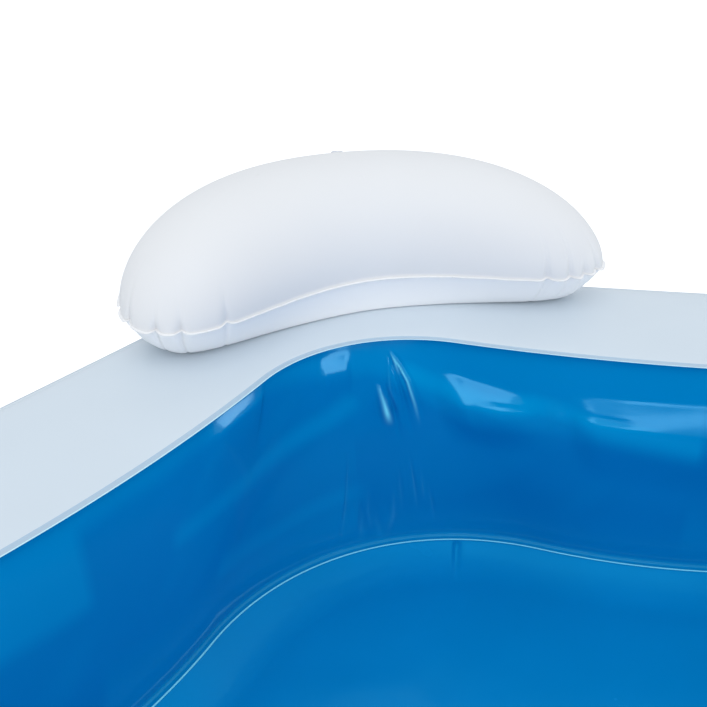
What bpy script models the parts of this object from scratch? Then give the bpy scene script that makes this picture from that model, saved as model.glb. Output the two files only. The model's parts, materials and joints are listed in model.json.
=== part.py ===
"""Six-sided inflatable paddling pool with wide flat-topped walls and two inflatable headrests.

Metres, +Z up. The origin is the middle of the pool on the ground. Two corners point along +Y
and -Y and carry the headrests, and two flat sides face +X and -X. The walls are one air
chamber, welded from four sheets of vinyl film and tied inside by a web in each corner.
"""

import math
from collections import namedtuple

import bmesh
import bpy
from mathutils import Matrix, Vector

# Film and welds
FILM = 0.0004
WELD_GAP = 0.0003
PITCH = FILM + WELD_GAP
TOP_LIP = 0.010
FLOOR_LIP = 0.015

# Plan of the walls, with a weld lip on each edge
SIDES = 6
FLAT_TO_FLAT = 2.74
WALL_WIDTH = 0.306
OUTER_CORNER_RADIUS = 0.37
OUTER_BOW = math.radians(1.1)
INNER_CORNER_RADIUS = 0.281
INNER_BOW = math.radians(9.1)
FLOOR_INSET = 0.0155
FLOOR_CORNER_RADIUS = 0.4835
FLOOR_BOW = math.radians(12.0)
CORNER_STEPS = 3
SIDE_STEPS = 5

# Section of the walls
WALL_HEIGHT = 0.46
TOP_CROWN = 0.010
TOP_CREASE = 0.014
INNER_BULGE = 0.018
OUTER_BULGE = 0.009
BULGE_POWER = 2.4
SEAM_HEIGHT = 0.033
BASE_RISE_WIDTH = 0.060
FLOOR_FALL_WIDTH = 0.095
INNER_LEVEL_SHARES = (0.0, 0.1, 0.28, 0.5, 0.72, 0.9, 1.0)
OUTER_LEVEL_SHARES = (0.0, 0.12, 0.32, 0.5, 0.68, 0.88, 1.0)
TOP_MIDDLE_SHARE = 0.35
BASE_KNEE_SHARE = 0.4
BASE_KNEE_LEVEL_SHARE = 0.35
FLOOR_KNEE_SHARE = 0.42
FLOOR_KNEE_LEVEL_SHARE = 0.38

# Webs inside the corners
WEB_CLEARANCE = 0.0005
AIR_HOLE_RADIUS = 0.035
AIR_HOLE_STEPS = 14
AIR_HOLE_HEIGHT_SHARES = (0.32, 0.70)

# Headrest, a bean laid round a corner with its hollow side to the water
BEAN_HALF_LENGTH = 0.5187
BEAN_HALF_WIDTH = 0.190
BEAN_WIDTH_POWERS = (2.37, 0.45)
BEAN_BEND_RADIUS = 0.3953
BEAN_LIP = 0.006
BEAN_SEAM_HEIGHT = 0.0681
BEAN_CROWN = 0.1739
BEAN_CREST_POWERS = (2.85, 0.565)
BEAN_SPINE_SHARE = 0.531
BEAN_SETBACK = 0.0375
BEAN_SHIFT = 0.0928
BEAN_TURN = math.radians(-4.27)
BEAN_STEPS = 42
BEAN_TOP_SHARES = (0.11, 0.29, 0.60)
BEAN_FOOT_SHARE = 0.14
BEAN_END_FOOT_SHARE = 0.468
BEAN_FALL_SHARES = (0.2, 0.5, 1.0)
BEAN_FALL_POWER = 3.55
PUCKER_START_SHARE = 0.80
PUCKER_DEPTH = 0.006
PUCKER_CREASE = 0.007
PUCKER_REACH_SHARE = 0.32
HEADRESTS = 2

# Small valve of a headrest: a welded flange, a short tube and a push-in stopper
STEM_RADIUS = 0.0052
STEM_BORE = 0.0036
STEM_RISE = 0.009
STEM_DEPTH = 0.012
STEM_FLANGE_RADIUS = 0.0115
STEM_FLANGE = 0.0011
STOPPER_CLEARANCE = 0.0003
STOPPER_HEAD_RADIUS = 0.0062
STOPPER_HEAD = 0.0022
STOPPER_DEPTH = 0.010
STOPPER_TAB_LENGTH = 0.011
STOPPER_TAB_WIDTH = 0.006

# Screw valve of the wall chamber, on the middle of a side
VALVE_SIDE_STEPS = 2
VALVE_NECK_RADIUS = 0.0190
VALVE_BORE = 0.0150
VALVE_RISE = 0.0085
VALVE_DEPTH = 0.0115
VALVE_FLANGE_RADIUS = 0.031
VALVE_FLANGE = 0.0014
PLUG_CLEARANCE = 0.0003
PLUG_DEPTH = 0.0075
PLUG_BORE = 0.0105
PLUG_RIM_RADIUS = 0.0205
PLUG_RIM = 0.0034
FLAP = 0.0010
FLAP_RADIUS = 0.0122
FLAP_TAB_WIDTH = 0.0060
FLAP_TAB_REACH = 0.0132
CAP_SKIRT = 0.0016
CAP_HEAD = 0.0018
CAP_SPIGOT = 0.0045
CAP_GRIP_DEPTH = 0.0009
TETHER = 0.0014
TETHER_RADIUS = 0.0240
STRAP_REACH = 0.0030
STRAP_WIDTH = 0.0090

# Drain in the floor
DRAIN_X = -0.70
DRAIN_Y = -0.42
DRAIN_FLANGE_RADIUS = 0.026
DRAIN_FLANGE = 0.0014
DRAIN_RISE = 0.0085
DRAIN_NECK_RADIUS = 0.0135
DRAIN_BORE = 0.0100
DRAIN_HEAD_RADIUS = 0.0165
DRAIN_HEAD = 0.0024
DRAIN_TAB_HEIGHT = 0.011
DRAIN_TAB_WIDTH = 0.016
DRAIN_TAB = 0.0026
DRAIN_TAB_ROUND = 0.005

SMALL_ROUND_STEPS = 20
ROUND_STEPS = 30
CUT_OVERRUN = 0.010
SAME_POINT = 1e-6

Outline = namedtuple("Outline", "apothem bow radius")
Station = namedtuple("Station", "edge spine pucker")

HALF_SIDE_ANGLE = math.pi / SIDES
OUTER_EDGE = Outline(FLAT_TO_FLAT / 2, OUTER_BOW, OUTER_CORNER_RADIUS)
INNER_EDGE = Outline(FLAT_TO_FLAT / 2 - WALL_WIDTH, INNER_BOW, INNER_CORNER_RADIUS)
FLOOR_EDGE = Outline(INNER_EDGE.apothem - FLOOR_INSET, FLOOR_BOW, FLOOR_CORNER_RADIUS)

TOP_LEVEL = WALL_HEIGHT - FILM / 2
UNDER_TOP_LEVEL = TOP_LEVEL - PITCH
SEAM_LEVEL = SEAM_HEIGHT - FILM / 2
GROUND_LEVEL = FILM / 2


# Materials

def material(name, colour, roughness, coat=0.0):
    made = bpy.data.materials.new(name)
    made.use_nodes = True
    shader = made.node_tree.nodes["Principled BSDF"]
    shader.inputs["Base Color"].default_value = (*colour, 1.0)
    shader.inputs["Roughness"].default_value = roughness
    shader.inputs["Metallic"].default_value = 0.0
    shader.inputs["Coat Weight"].default_value = coat
    return made


def make_materials():
    return {
        "top": material("pale_top_vinyl", (0.62, 0.70, 0.78), 0.45),
        "wall": material("blue_wall_vinyl", (0.0, 0.14, 0.46), 0.22, 0.4),
        "floor": material("blue_floor_vinyl", (0.0, 0.20, 0.58), 0.30, 0.2),
        "web": material("clear_web_vinyl", (0.75, 0.80, 0.84), 0.35),
        "headrest": material("white_headrest_vinyl", (0.80, 0.82, 0.90), 0.40),
        "valve": material("white_valve_plastic", (0.85, 0.87, 0.90), 0.40),
        "flap": material("flap_rubber", (0.55, 0.58, 0.60), 0.55),
    }


# Outlines seen from above

def moved_out(outline, distance):
    """The outline that runs at an even distance outside this one."""
    return Outline(outline.apothem + distance, outline.bow, outline.radius + distance)


def between(first, second, share):
    return Outline(*(a + (b - a) * share for a, b in zip(first, second)))


def outline_points(outline):
    """Points round the outline, clockwise from the corner at +Y, as many for every outline.

    A side is an arc whose middle bows in towards the water, and a corner is a round arc.
    """
    rise = math.tan(HALF_SIDE_ANGLE)
    sine, cosine = math.sin(outline.bow), math.cos(outline.bow)
    reach = sine + rise * cosine
    side_radius = (rise * outline.apothem - outline.radius * reach) / (reach - rise)
    across = (side_radius + outline.radius) * sine
    out = outline.apothem + side_radius - (side_radius + outline.radius) * cosine
    corner_turn = (HALF_SIDE_ANGLE + outline.bow) / CORNER_STEPS
    corner = []
    for step in range(CORNER_STEPS):
        angle = HALF_SIDE_ANGLE - step * corner_turn
        corner.append((across + outline.radius * math.sin(angle), out + outline.radius * math.cos(angle)))
    side = []
    for step in range(SIDE_STEPS + 1):
        angle = outline.bow * (2 * step / SIDE_STEPS - 1)
        side.append((side_radius * math.sin(angle), outline.apothem + side_radius * (1 - math.cos(angle))))
    one_side = [(-u, v) for u, v in corner] + side + corner[:0:-1]
    points = []
    for number in range(SIDES):
        turn = Matrix.Rotation(-HALF_SIDE_ANGLE * (2 * number + 1), 2)
        points += [turn @ Vector(place) for place in one_side]
    return points


def rail(outline, level):
    return [Vector((p.x, p.y, level)) for p in outline_points(outline)]


def mixed_rail(first, second, share, level):
    pairs = zip(outline_points(first), outline_points(second))
    return [a.lerp(b, share).to_3d() + Vector((0, 0, level)) for a, b in pairs]


def swell(share):
    """How far a panel bulges between its two welds, from 0 at each to 1 half way."""
    return 1 - abs(2 * share - 1) ** BULGE_POWER


# The five sheets as rails, each a closed ring of points in the middle of the film

def top_rails():
    inner, outer = moved_out(INNER_EDGE, TOP_LIP), moved_out(OUTER_EDGE, -TOP_LIP)
    crease = TOP_CREASE / (WALL_WIDTH - 2 * TOP_LIP)
    rails = [rail(INNER_EDGE, TOP_LEVEL), rail(inner, TOP_LEVEL)]
    for share in (crease, TOP_MIDDLE_SHARE, 1 - TOP_MIDDLE_SHARE, 1 - crease):
        rails.append(mixed_rail(inner, outer, share, TOP_LEVEL + TOP_CROWN * math.sqrt(swell(share))))
    return rails + [rail(outer, TOP_LEVEL), rail(OUTER_EDGE, TOP_LEVEL)]


def inner_wall_rails():
    upper, lower = moved_out(INNER_EDGE, TOP_LIP), moved_out(FLOOR_EDGE, FLOOR_LIP)
    rails = [rail(INNER_EDGE, UNDER_TOP_LEVEL)]
    for share in INNER_LEVEL_SHARES:
        outline = moved_out(between(upper, lower, share), -INNER_BULGE * swell(share))
        rails.append(rail(outline, UNDER_TOP_LEVEL + (SEAM_LEVEL - UNDER_TOP_LEVEL) * share))
    return rails + [rail(FLOOR_EDGE, SEAM_LEVEL)]


def outer_wall_rails():
    root = moved_out(OUTER_EDGE, -TOP_LIP)
    foot = GROUND_LEVEL + PITCH
    rails = [rail(OUTER_EDGE, UNDER_TOP_LEVEL)]
    for share in OUTER_LEVEL_SHARES:
        outline = moved_out(root, OUTER_BULGE * swell(share))
        rails.append(rail(outline, UNDER_TOP_LEVEL + (foot - UNDER_TOP_LEVEL) * share))
    return rails + [rail(OUTER_EDGE, foot)]


def base_rails():
    lip = SEAM_LEVEL - 2 * PITCH
    root = moved_out(FLOOR_EDGE, FLOOR_LIP)
    foot = moved_out(root, BASE_RISE_WIDTH)
    knee = GROUND_LEVEL + (lip - GROUND_LEVEL) * BASE_KNEE_LEVEL_SHARE
    return [
        rail(FLOOR_EDGE, lip),
        rail(root, lip),
        mixed_rail(root, foot, BASE_KNEE_SHARE, knee),
        rail(foot, GROUND_LEVEL),
        rail(OUTER_EDGE, GROUND_LEVEL),
    ]


def floor_rails():
    lip = SEAM_LEVEL - PITCH
    flat = moved_out(FLOOR_EDGE, -FLOOR_FALL_WIDTH)
    knee = GROUND_LEVEL + (lip - GROUND_LEVEL) * FLOOR_KNEE_LEVEL_SHARE
    return [
        rail(moved_out(FLOOR_EDGE, FLOOR_LIP), lip),
        rail(FLOOR_EDGE, lip),
        mixed_rail(FLOOR_EDGE, flat, FLOOR_KNEE_SHARE, knee),
        rail(flat, GROUND_LEVEL),
    ]


# Making objects

def mesh_object(name, bm, finish, parent=None, place=None):
    bmesh.ops.recalc_face_normals(bm, faces=bm.faces)
    mesh = bpy.data.meshes.new(name)
    bm.to_mesh(mesh)
    bm.free()
    mesh.shade_smooth()
    mesh.set_sharp_from_angle(angle=math.radians(40))
    mesh.materials.append(finish)
    made = bpy.data.objects.new(name, mesh)
    bpy.context.scene.collection.objects.link(made)
    made.parent = parent
    if place is not None:
        made.matrix_local = place
    return made


def place_empty(name, parent, matrix):
    made = bpy.data.objects.new(name, None)
    bpy.context.scene.collection.objects.link(made)
    made.parent = parent
    made.matrix_local = matrix
    return made


def drawn(rails, fill_last=False):
    """A skin drawn from the first rail through the others, closed across the last one if asked."""
    bm = bmesh.new()
    corners = [bm.verts.new(p) for p in rails[0]]
    edges = [bm.edges.new(pair) for pair in zip(corners, corners[1:] + corners[:1])]
    for points in rails[1:]:
        made = bmesh.ops.extrude_edge_only(bm, edges=edges)["geom"]
        edges = [part for part in made if isinstance(part, bmesh.types.BMEdge)]
        fresh = {part for part in made if isinstance(part, bmesh.types.BMVert)}
        for number, corner in enumerate(corners):
            neighbours = (edge.other_vert(corner) for edge in corner.link_edges)
            corners[number] = next(vertex for vertex in neighbours if vertex in fresh)
            corners[number].co = points[number]
    if fill_last:
        bmesh.ops.edgeloop_fill(bm, edges=edges)
    bmesh.ops.remove_doubles(bm, verts=bm.verts, dist=SAME_POINT)
    return bm


def give_thickness(made, thickness=FILM):
    solidify = made.modifiers.new("film", "SOLIDIFY")
    solidify.thickness = thickness
    solidify.offset = 0.0
    solidify.use_even_offset = True


def cut_hole(made, radius, parent, place):
    """A round hole along the place's own Z axis."""
    bm = bmesh.new()
    bmesh.ops.create_cone(
        bm, cap_ends=True, segments=SMALL_ROUND_STEPS, radius1=radius, radius2=radius, depth=2 * CUT_OVERRUN
    )
    cutter = mesh_object("cutter_" + made.name, bm, made.data.materials[0], parent, place)
    cutter.hide_render = True
    cutter.display_type = "WIRE"
    hole = made.modifiers.new("hole", "BOOLEAN")
    hole.operation = "DIFFERENCE"
    hole.solver = "EXACT"
    hole.object = cutter


def turned(profile, steps=ROUND_STEPS):
    """A closed round body from a profile of (radius, height) points, either a ring or from axis to axis."""
    bm = bmesh.new()
    corners = [bm.verts.new((radius, 0, height)) for radius, height in profile]
    edges = [bm.edges.new(pair) for pair in zip(corners, corners[1:])]
    if profile[0][0] > 0:
        edges.append(bm.edges.new((corners[-1], corners[0])))
    bmesh.ops.spin(
        bm,
        geom=corners + edges,
        axis=(0, 0, 1),
        cent=(0, 0, 0),
        angle=2 * math.pi,
        steps=steps,
        use_merge=True,
        use_normal_flip=False,
    )
    bmesh.ops.remove_doubles(bm, verts=bm.verts, dist=SAME_POINT)
    return bm


def add_grips(bm, rim_radius, depth, steps=ROUND_STEPS):
    """Draws in every third column of points on a rim, so that it has finger grips."""
    for vertex in bm.verts:
        radius = math.hypot(vertex.co.x, vertex.co.y)
        column = round(math.atan2(vertex.co.y, vertex.co.x) / (2 * math.pi) * steps)
        if radius > rim_radius - depth and column % 3 == 0:
            share = (radius - depth) / radius
            vertex.co.x *= share
            vertex.co.y *= share


def raise_face(bm, face, way):
    """Draws a face out into a solid."""
    raised = bmesh.ops.extrude_face_region(bm, geom=[face])["geom"]
    corners = [part for part in raised if isinstance(part, bmesh.types.BMVert)]
    bmesh.ops.translate(bm, vec=way, verts=corners)


def slab(bm, low, high):
    """A block between two corners, as a body of its own in this bmesh."""
    size = Vector(high) - Vector(low)
    middle = (Vector(high) + Vector(low)) / 2
    made = bmesh.ops.create_cube(bm, size=1)["verts"]
    bmesh.ops.scale(bm, vec=size, verts=made)
    bmesh.ops.translate(bm, vec=middle, verts=made)


def joined(made, tab_bm, finish):
    """Joins a second body to an object with a union."""
    tab = mesh_object("cutter_tab_" + made.name, tab_bm, finish, made.parent, made.matrix_local)
    tab.hide_render = True
    tab.display_type = "WIRE"
    union = made.modifiers.new("tab", "BOOLEAN")
    union.operation = "UNION"
    union.solver = "EXACT"
    union.object = tab


# Sheets and webs of the pool

def make_sheets(finishes):
    sheets = {}
    skins = (
        ("base_sheet", base_rails(), "wall", False),
        ("floor_sheet", floor_rails(), "floor", True),
        ("inner_wall", inner_wall_rails(), "wall", False),
        ("outer_wall", outer_wall_rails(), "wall", False),
        ("top_sheet", top_rails(), "top", False),
    )
    for name, rails, finish, fill_last in skins:
        sheets[name] = mesh_object(name, drawn(rails, fill_last), finishes[finish])
        give_thickness(sheets[name])
    return sheets


def web_bmesh():
    """The section of the chamber at a corner, drawn in by the clearance, with two air holes."""
    section = [points[0] for points in inner_wall_rails()[-2:0:-1]]
    section += [points[0] for points in top_rails()[2:-2]]
    section += [points[0] for points in outer_wall_rails()[1:-1]]
    section += [points[0] for points in base_rails()[-2:1:-1]]
    bm = bmesh.new()
    face = bm.faces.new([bm.verts.new(p) for p in section])
    face.normal_update()
    rim = bmesh.ops.inset_region(
        bm, faces=[face], thickness=FILM / 2 + WEB_CLEARANCE, use_boundary=True, use_even_offset=True
    )
    bmesh.ops.delete(bm, geom=rim["faces"], context="FACES")
    low = min(v.co.z for v in face.verts)
    high = max(v.co.z for v in face.verts)
    middle = sum(v.co.y for v in face.verts) / len(face.verts)
    bmesh.ops.delete(bm, geom=[face], context="FACES_ONLY")
    upright = Matrix.Rotation(math.pi / 2, 4, "Y")
    for share in AIR_HOLE_HEIGHT_SHARES:
        place = Matrix.Translation((0, middle, low + (high - low) * share)) @ upright
        bmesh.ops.create_circle(bm, segments=AIR_HOLE_STEPS, radius=AIR_HOLE_RADIUS, matrix=place)
    bmesh.ops.triangle_fill(bm, edges=bm.edges, use_beauty=True, normal=(1, 0, 0))
    return bm


def make_webs(finishes):
    for number in range(SIDES):
        turn = Matrix.Rotation(-2 * HALF_SIDE_ANGLE * number, 4, "Z")
        web = mesh_object(f"corner_web_{number + 1}", web_bmesh(), finishes["web"], place=turn)
        give_thickness(web)


# Headrests

def taper(along, powers):
    """Falls from 1 at the bean's middle to 0 at its tips, rounded by the two powers."""
    return max(0.0, 1 - abs(along / BEAN_HALF_LENGTH) ** powers[0]) ** powers[1]


def bean_stations(every=1):
    """Stations clockwise round the bean's seam, from its left tip over its outer side.

    Edge and spine are points of the bean laid out straight: along it, and out across it.
    """
    stations = []
    for side in (1, -1):
        for step in range(BEAN_STEPS):
            turn = side * math.pi * (step / BEAN_STEPS - 1 / 2)
            along = BEAN_HALF_LENGTH * math.sin(turn)
            edge = Vector((along, side * BEAN_HALF_WIDTH * taper(along, BEAN_WIDTH_POWERS)))
            spine = Vector((BEAN_SPINE_SHARE * BEAN_HALF_LENGTH * turn * 2 / math.pi, 0))
            puckered = side == 1 or abs(along) > PUCKER_START_SHARE * BEAN_HALF_LENGTH
            stations.append(Station(edge, spine, step % 2 * puckered))
    return stations[::every]


def bent(place, level):
    """A place on the straight bean once it is bent round its hollow side."""
    turn = place.x / BEAN_BEND_RADIUS
    reach = BEAN_BEND_RADIUS + place.y
    return Vector((reach * math.sin(turn), reach * math.cos(turn) - BEAN_BEND_RADIUS, level))


def bean_point(station, share, level, crease=0.0):
    """A point of a panel, this share of the way from the seam to the spine."""
    reach = max(0.0, 1 - share / PUCKER_REACH_SHARE) * station.pucker
    inward = (station.spine - station.edge).normalized() * PUCKER_DEPTH * reach
    return bent(station.edge.lerp(station.spine, share) + inward, level - crease * reach)


def lip_share(station):
    return BEAN_LIP / (station.spine - station.edge).length


def crown_level(station, share):
    """Height of the upper panel, whose crest falls to the seam at the bean's tips."""
    place = station.edge.lerp(station.spine, share)
    width = BEAN_HALF_WIDTH * taper(place.x, BEAN_WIDTH_POWERS)
    across = min(1.0, abs(place.y) / width)
    crest = BEAN_CROWN * taper(place.x, BEAN_CREST_POWERS)
    return BEAN_SEAM_HEIGHT + crest * math.sqrt(1 - across ** 2)


def foot_share(station):
    """How far in from the seam the lower panel meets what it rests on."""
    end = abs(station.edge.x) / BEAN_HALF_LENGTH
    return BEAN_FOOT_SHARE + (BEAN_END_FOOT_SHARE - BEAN_FOOT_SHARE) * end ** 2


def lip_rails(stations, seam):
    """The edge of a panel's weld lip and the line where the panel leaves it."""
    edge = [bean_point(s, 0.0, seam) for s in stations]
    return [edge, [bean_point(s, lip_share(s), seam) for s in stations]]


def headrest_top_rails():
    stations = bean_stations()
    rails = lip_rails(stations, BEAN_SEAM_HEIGHT + PITCH / 2)
    for share in BEAN_TOP_SHARES:
        rails.append([bean_point(s, share, crown_level(s, share), PUCKER_CREASE) for s in stations])
    return rails + [[bean_point(s, 1.0, crown_level(s, 1.0)) for s in stations]]


def headrest_bottom_rails():
    seam = BEAN_SEAM_HEIGHT - PITCH / 2
    stations = bean_stations(2)
    rails = lip_rails(stations, seam)
    for share in BEAN_FALL_SHARES:
        level = FILM / 2 + (seam - FILM / 2) * (1 - share) ** BEAN_FALL_POWER
        rails.append([bean_point(s, share * foot_share(s), level) for s in stations])
    return rails


def stem_profile():
    return [
        (STEM_BORE, -STEM_DEPTH),
        (STEM_RADIUS, -STEM_DEPTH),
        (STEM_RADIUS, 0),
        (STEM_FLANGE_RADIUS, 0),
        (STEM_FLANGE_RADIUS - STEM_FLANGE / 2, STEM_FLANGE),
        (STEM_RADIUS, STEM_FLANGE),
        (STEM_RADIUS, STEM_RISE),
        (STEM_BORE, STEM_RISE),
    ]


def stopper_profile():
    plug = STEM_BORE - STOPPER_CLEARANCE
    seat = STEM_RISE + STOPPER_CLEARANCE
    return [
        (0, STEM_RISE - STOPPER_DEPTH),
        (plug - STOPPER_CLEARANCE, STEM_RISE - STOPPER_DEPTH),
        (plug, STEM_RISE - STOPPER_DEPTH / 2),
        (plug, seat),
        (STOPPER_HEAD_RADIUS, seat),
        (STOPPER_HEAD_RADIUS, seat + STOPPER_HEAD / 2),
        (STOPPER_HEAD_RADIUS - STOPPER_HEAD / 2, seat + STOPPER_HEAD),
        (0, seat + STOPPER_HEAD),
    ]


def stopper_tab():
    bm = bmesh.new()
    seat = STEM_RISE + STOPPER_CLEARANCE
    slab(
        bm,
        (STOPPER_HEAD_RADIUS / 2, -STOPPER_TAB_WIDTH / 2, seat),
        (STOPPER_HEAD_RADIUS + STOPPER_TAB_LENGTH, STOPPER_TAB_WIDTH / 2, seat + STOPPER_HEAD / 2),
    )
    return bm


def headrest_valve_place():
    """On a facet of the outer side of the top panel, with Z square to the panel."""
    rails = headrest_top_rails()
    column = BEAN_STEPS // 2
    low, high = rails[3], rails[4]
    corners = [low[column], low[column + 1], high[column + 1], high[column]]
    middle = sum(corners, Vector()) / len(corners)
    normal = (corners[3] - corners[1]).cross(corners[2] - corners[0]).normalized()
    side = (corners[1] - corners[0]).normalized()
    side -= normal * side.dot(normal)
    side.normalize()
    frame = Matrix((side, normal.cross(side), normal)).transposed().to_4x4()
    return Matrix.Translation(middle + normal * (FILM / 2 + WELD_GAP)) @ frame


def make_headrest(number, finishes):
    turn = Matrix.Rotation(2 * math.pi * (number - 1) / HEADRESTS, 4, "Z")
    foot = WALL_HEIGHT + TOP_CROWN + WELD_GAP
    corner = outline_points(OUTER_EDGE)[0]
    middle = Vector((BEAN_SHIFT, corner.length - BEAN_SETBACK, foot))
    seat = turn @ Matrix.Translation(middle) @ Matrix.Rotation(BEAN_TURN, 4, "Z")
    place = place_empty(f"headrest_place_{number}", None, seat)
    bottom_bm = drawn(headrest_bottom_rails(), fill_last=True)
    bottom = mesh_object(f"headrest_bottom_{number}", bottom_bm, finishes["headrest"], place)
    give_thickness(bottom)
    top_bm = drawn(headrest_top_rails())
    top = mesh_object(f"headrest_top_{number}", top_bm, finishes["headrest"], place)
    give_thickness(top)
    valve = place_empty(f"headrest_valve_place_{number}", place, headrest_valve_place())
    cut_hole(top, STEM_RADIUS + STOPPER_CLEARANCE, valve, Matrix.Identity(4))
    stem_bm = turned(stem_profile(), SMALL_ROUND_STEPS)
    mesh_object(f"headrest_valve_{number}", stem_bm, finishes["valve"], valve)
    stopper_bm = turned(stopper_profile(), SMALL_ROUND_STEPS)
    stopper = mesh_object(f"headrest_stopper_{number}", stopper_bm, finishes["valve"], valve)
    joined(stopper, stopper_tab(), finishes["valve"])


# Screw valve of the wall chamber, in a frame with Z out of the wall and Y up

def wall_valve_place():
    """On the middle facet of a side of the outer wall, at half height."""
    middle_rail = outer_wall_rails()[1 + len(OUTER_LEVEL_SHARES) // 2]
    per_side = 2 * CORNER_STEPS + SIDE_STEPS
    first = VALVE_SIDE_STEPS * per_side + CORNER_STEPS + SIDE_STEPS // 2
    start, end = middle_rail[first], middle_rail[first + 1]
    up = Vector((0, 0, 1))
    side = (start - end).normalized()
    frame = Matrix((side, up, side.cross(up))).transposed().to_4x4()
    return Matrix.Translation((start + end) / 2) @ frame


def wall_lean(distance):
    """How far the outer wall falls back from its middle at this distance above or below it."""
    shares = OUTER_LEVEL_SHARES[len(OUTER_LEVEL_SHARES) // 2:][:2]
    fall = OUTER_BULGE * (swell(shares[0]) - swell(shares[1]))
    return distance * fall / (WALL_HEIGHT * (shares[1] - shares[0]))


def valve_base_profile():
    back = -(FILM / 2 + WELD_GAP + wall_lean(VALVE_FLANGE_RADIUS))
    return [
        (VALVE_BORE, -VALVE_DEPTH),
        (VALVE_NECK_RADIUS, -VALVE_DEPTH),
        (VALVE_NECK_RADIUS, back - VALVE_FLANGE),
        (VALVE_FLANGE_RADIUS, back - VALVE_FLANGE),
        (VALVE_FLANGE_RADIUS, back),
        (VALVE_NECK_RADIUS, back),
        (VALVE_NECK_RADIUS, VALVE_RISE),
        (VALVE_BORE, VALVE_RISE),
    ]


def valve_plug_profile():
    rim = VALVE_RISE + PLUG_CLEARANCE
    body = VALVE_BORE - PLUG_CLEARANCE
    return [
        (PLUG_BORE, -PLUG_DEPTH),
        (body - PLUG_CLEARANCE, -PLUG_DEPTH),
        (body, -PLUG_DEPTH + PLUG_CLEARANCE),
        (body, rim),
        (PLUG_RIM_RADIUS, rim),
        (PLUG_RIM_RADIUS, rim + PLUG_RIM),
        (PLUG_BORE, rim + PLUG_RIM),
    ]


def valve_cap_profile():
    inside = PLUG_RIM_RADIUS + PLUG_CLEARANCE
    roof = VALVE_RISE + PLUG_RIM + 2 * PLUG_CLEARANCE
    edge = CAP_HEAD / 2
    return [
        (0, roof - CAP_SPIGOT),
        (PLUG_BORE - 2 * PLUG_CLEARANCE, roof - CAP_SPIGOT),
        (PLUG_BORE - PLUG_CLEARANCE, roof - CAP_SPIGOT / 2),
        (PLUG_BORE - PLUG_CLEARANCE, roof),
        (inside, roof),
        (inside, roof - PLUG_RIM),
        (inside + CAP_SKIRT, roof - PLUG_RIM),
        (inside + CAP_SKIRT, roof + edge),
        (inside + CAP_SKIRT - edge, roof + CAP_HEAD),
        (0, roof + CAP_HEAD),
    ]


def valve_flap_bmesh():
    """A round flap below the plug's bore, with a hinge tab at its top edge."""
    bm = bmesh.new()
    low = -PLUG_DEPTH - PLUG_CLEARANCE - FLAP
    points = []
    first = math.asin(FLAP_TAB_WIDTH / 2 / FLAP_RADIUS)
    for step in range(ROUND_STEPS + 1):
        angle = first + (2 * math.pi - 2 * first) * step / ROUND_STEPS
        points.append((FLAP_RADIUS * math.sin(angle), FLAP_RADIUS * math.cos(angle), low))
    points += [(-FLAP_TAB_WIDTH / 2, FLAP_TAB_REACH, low), (FLAP_TAB_WIDTH / 2, FLAP_TAB_REACH, low)]
    face = bm.faces.new([bm.verts.new(p) for p in points])
    raise_face(bm, face, (0, 0, FLAP))
    return bm


def tether_ring_profile():
    low = FILM / 2 + WELD_GAP
    inside = VALVE_NECK_RADIUS + PLUG_CLEARANCE
    return [(inside, low), (TETHER_RADIUS, low), (TETHER_RADIUS, low + TETHER), (inside, low + TETHER)]


def tether_strap_bmesh():
    """The strap that leaves the ring, turns up and comes back to the cap's side."""
    low = FILM / 2 + WELD_GAP
    cap_side = PLUG_RIM_RADIUS + PLUG_CLEARANCE + CAP_SKIRT + PLUG_CLEARANCE
    inner = TETHER_RADIUS + STRAP_REACH
    top = VALVE_RISE + PLUG_RIM + CAP_HEAD
    section = [
        (TETHER_RADIUS - TETHER, low),
        (inner + TETHER, low),
        (inner + TETHER, top),
        (cap_side, top),
        (cap_side, top - TETHER),
        (inner, top - TETHER),
        (inner, low + TETHER),
        (TETHER_RADIUS - TETHER, low + TETHER),
    ]
    bm = bmesh.new()
    face = bm.faces.new([bm.verts.new((x, -STRAP_WIDTH / 2, z)) for x, z in section])
    raise_face(bm, face, (0, STRAP_WIDTH, 0))
    return bm


def make_wall_valve(sheets, finishes):
    place = place_empty("wall_valve_place", None, wall_valve_place())
    cut_hole(sheets["outer_wall"], VALVE_NECK_RADIUS + WELD_GAP, place, Matrix.Identity(4))
    mesh_object("wall_valve_base", turned(valve_base_profile()), finishes["valve"], place)
    plug_bm = turned(valve_plug_profile())
    add_grips(plug_bm, PLUG_RIM_RADIUS, CAP_GRIP_DEPTH)
    mesh_object("wall_valve_plug", plug_bm, finishes["valve"], place)
    mesh_object("wall_valve_flap", valve_flap_bmesh(), finishes["flap"], place)
    cap_bm = turned(valve_cap_profile())
    add_grips(cap_bm, PLUG_RIM_RADIUS + PLUG_CLEARANCE + CAP_SKIRT, CAP_GRIP_DEPTH)
    mesh_object("wall_valve_cap", cap_bm, finishes["valve"], place)
    tether = mesh_object("wall_valve_tether", turned(tether_ring_profile()), finishes["valve"], place)
    joined(tether, tether_strap_bmesh(), finishes["valve"])


# Drain in the floor sheet

def drain_seat_profile():
    low = FILM + WELD_GAP
    return [
        (DRAIN_BORE, low),
        (DRAIN_FLANGE_RADIUS, low),
        (DRAIN_FLANGE_RADIUS - DRAIN_FLANGE / 2, low + DRAIN_FLANGE),
        (DRAIN_NECK_RADIUS, low + DRAIN_FLANGE),
        (DRAIN_NECK_RADIUS, DRAIN_RISE),
        (DRAIN_BORE, DRAIN_RISE),
    ]


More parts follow.
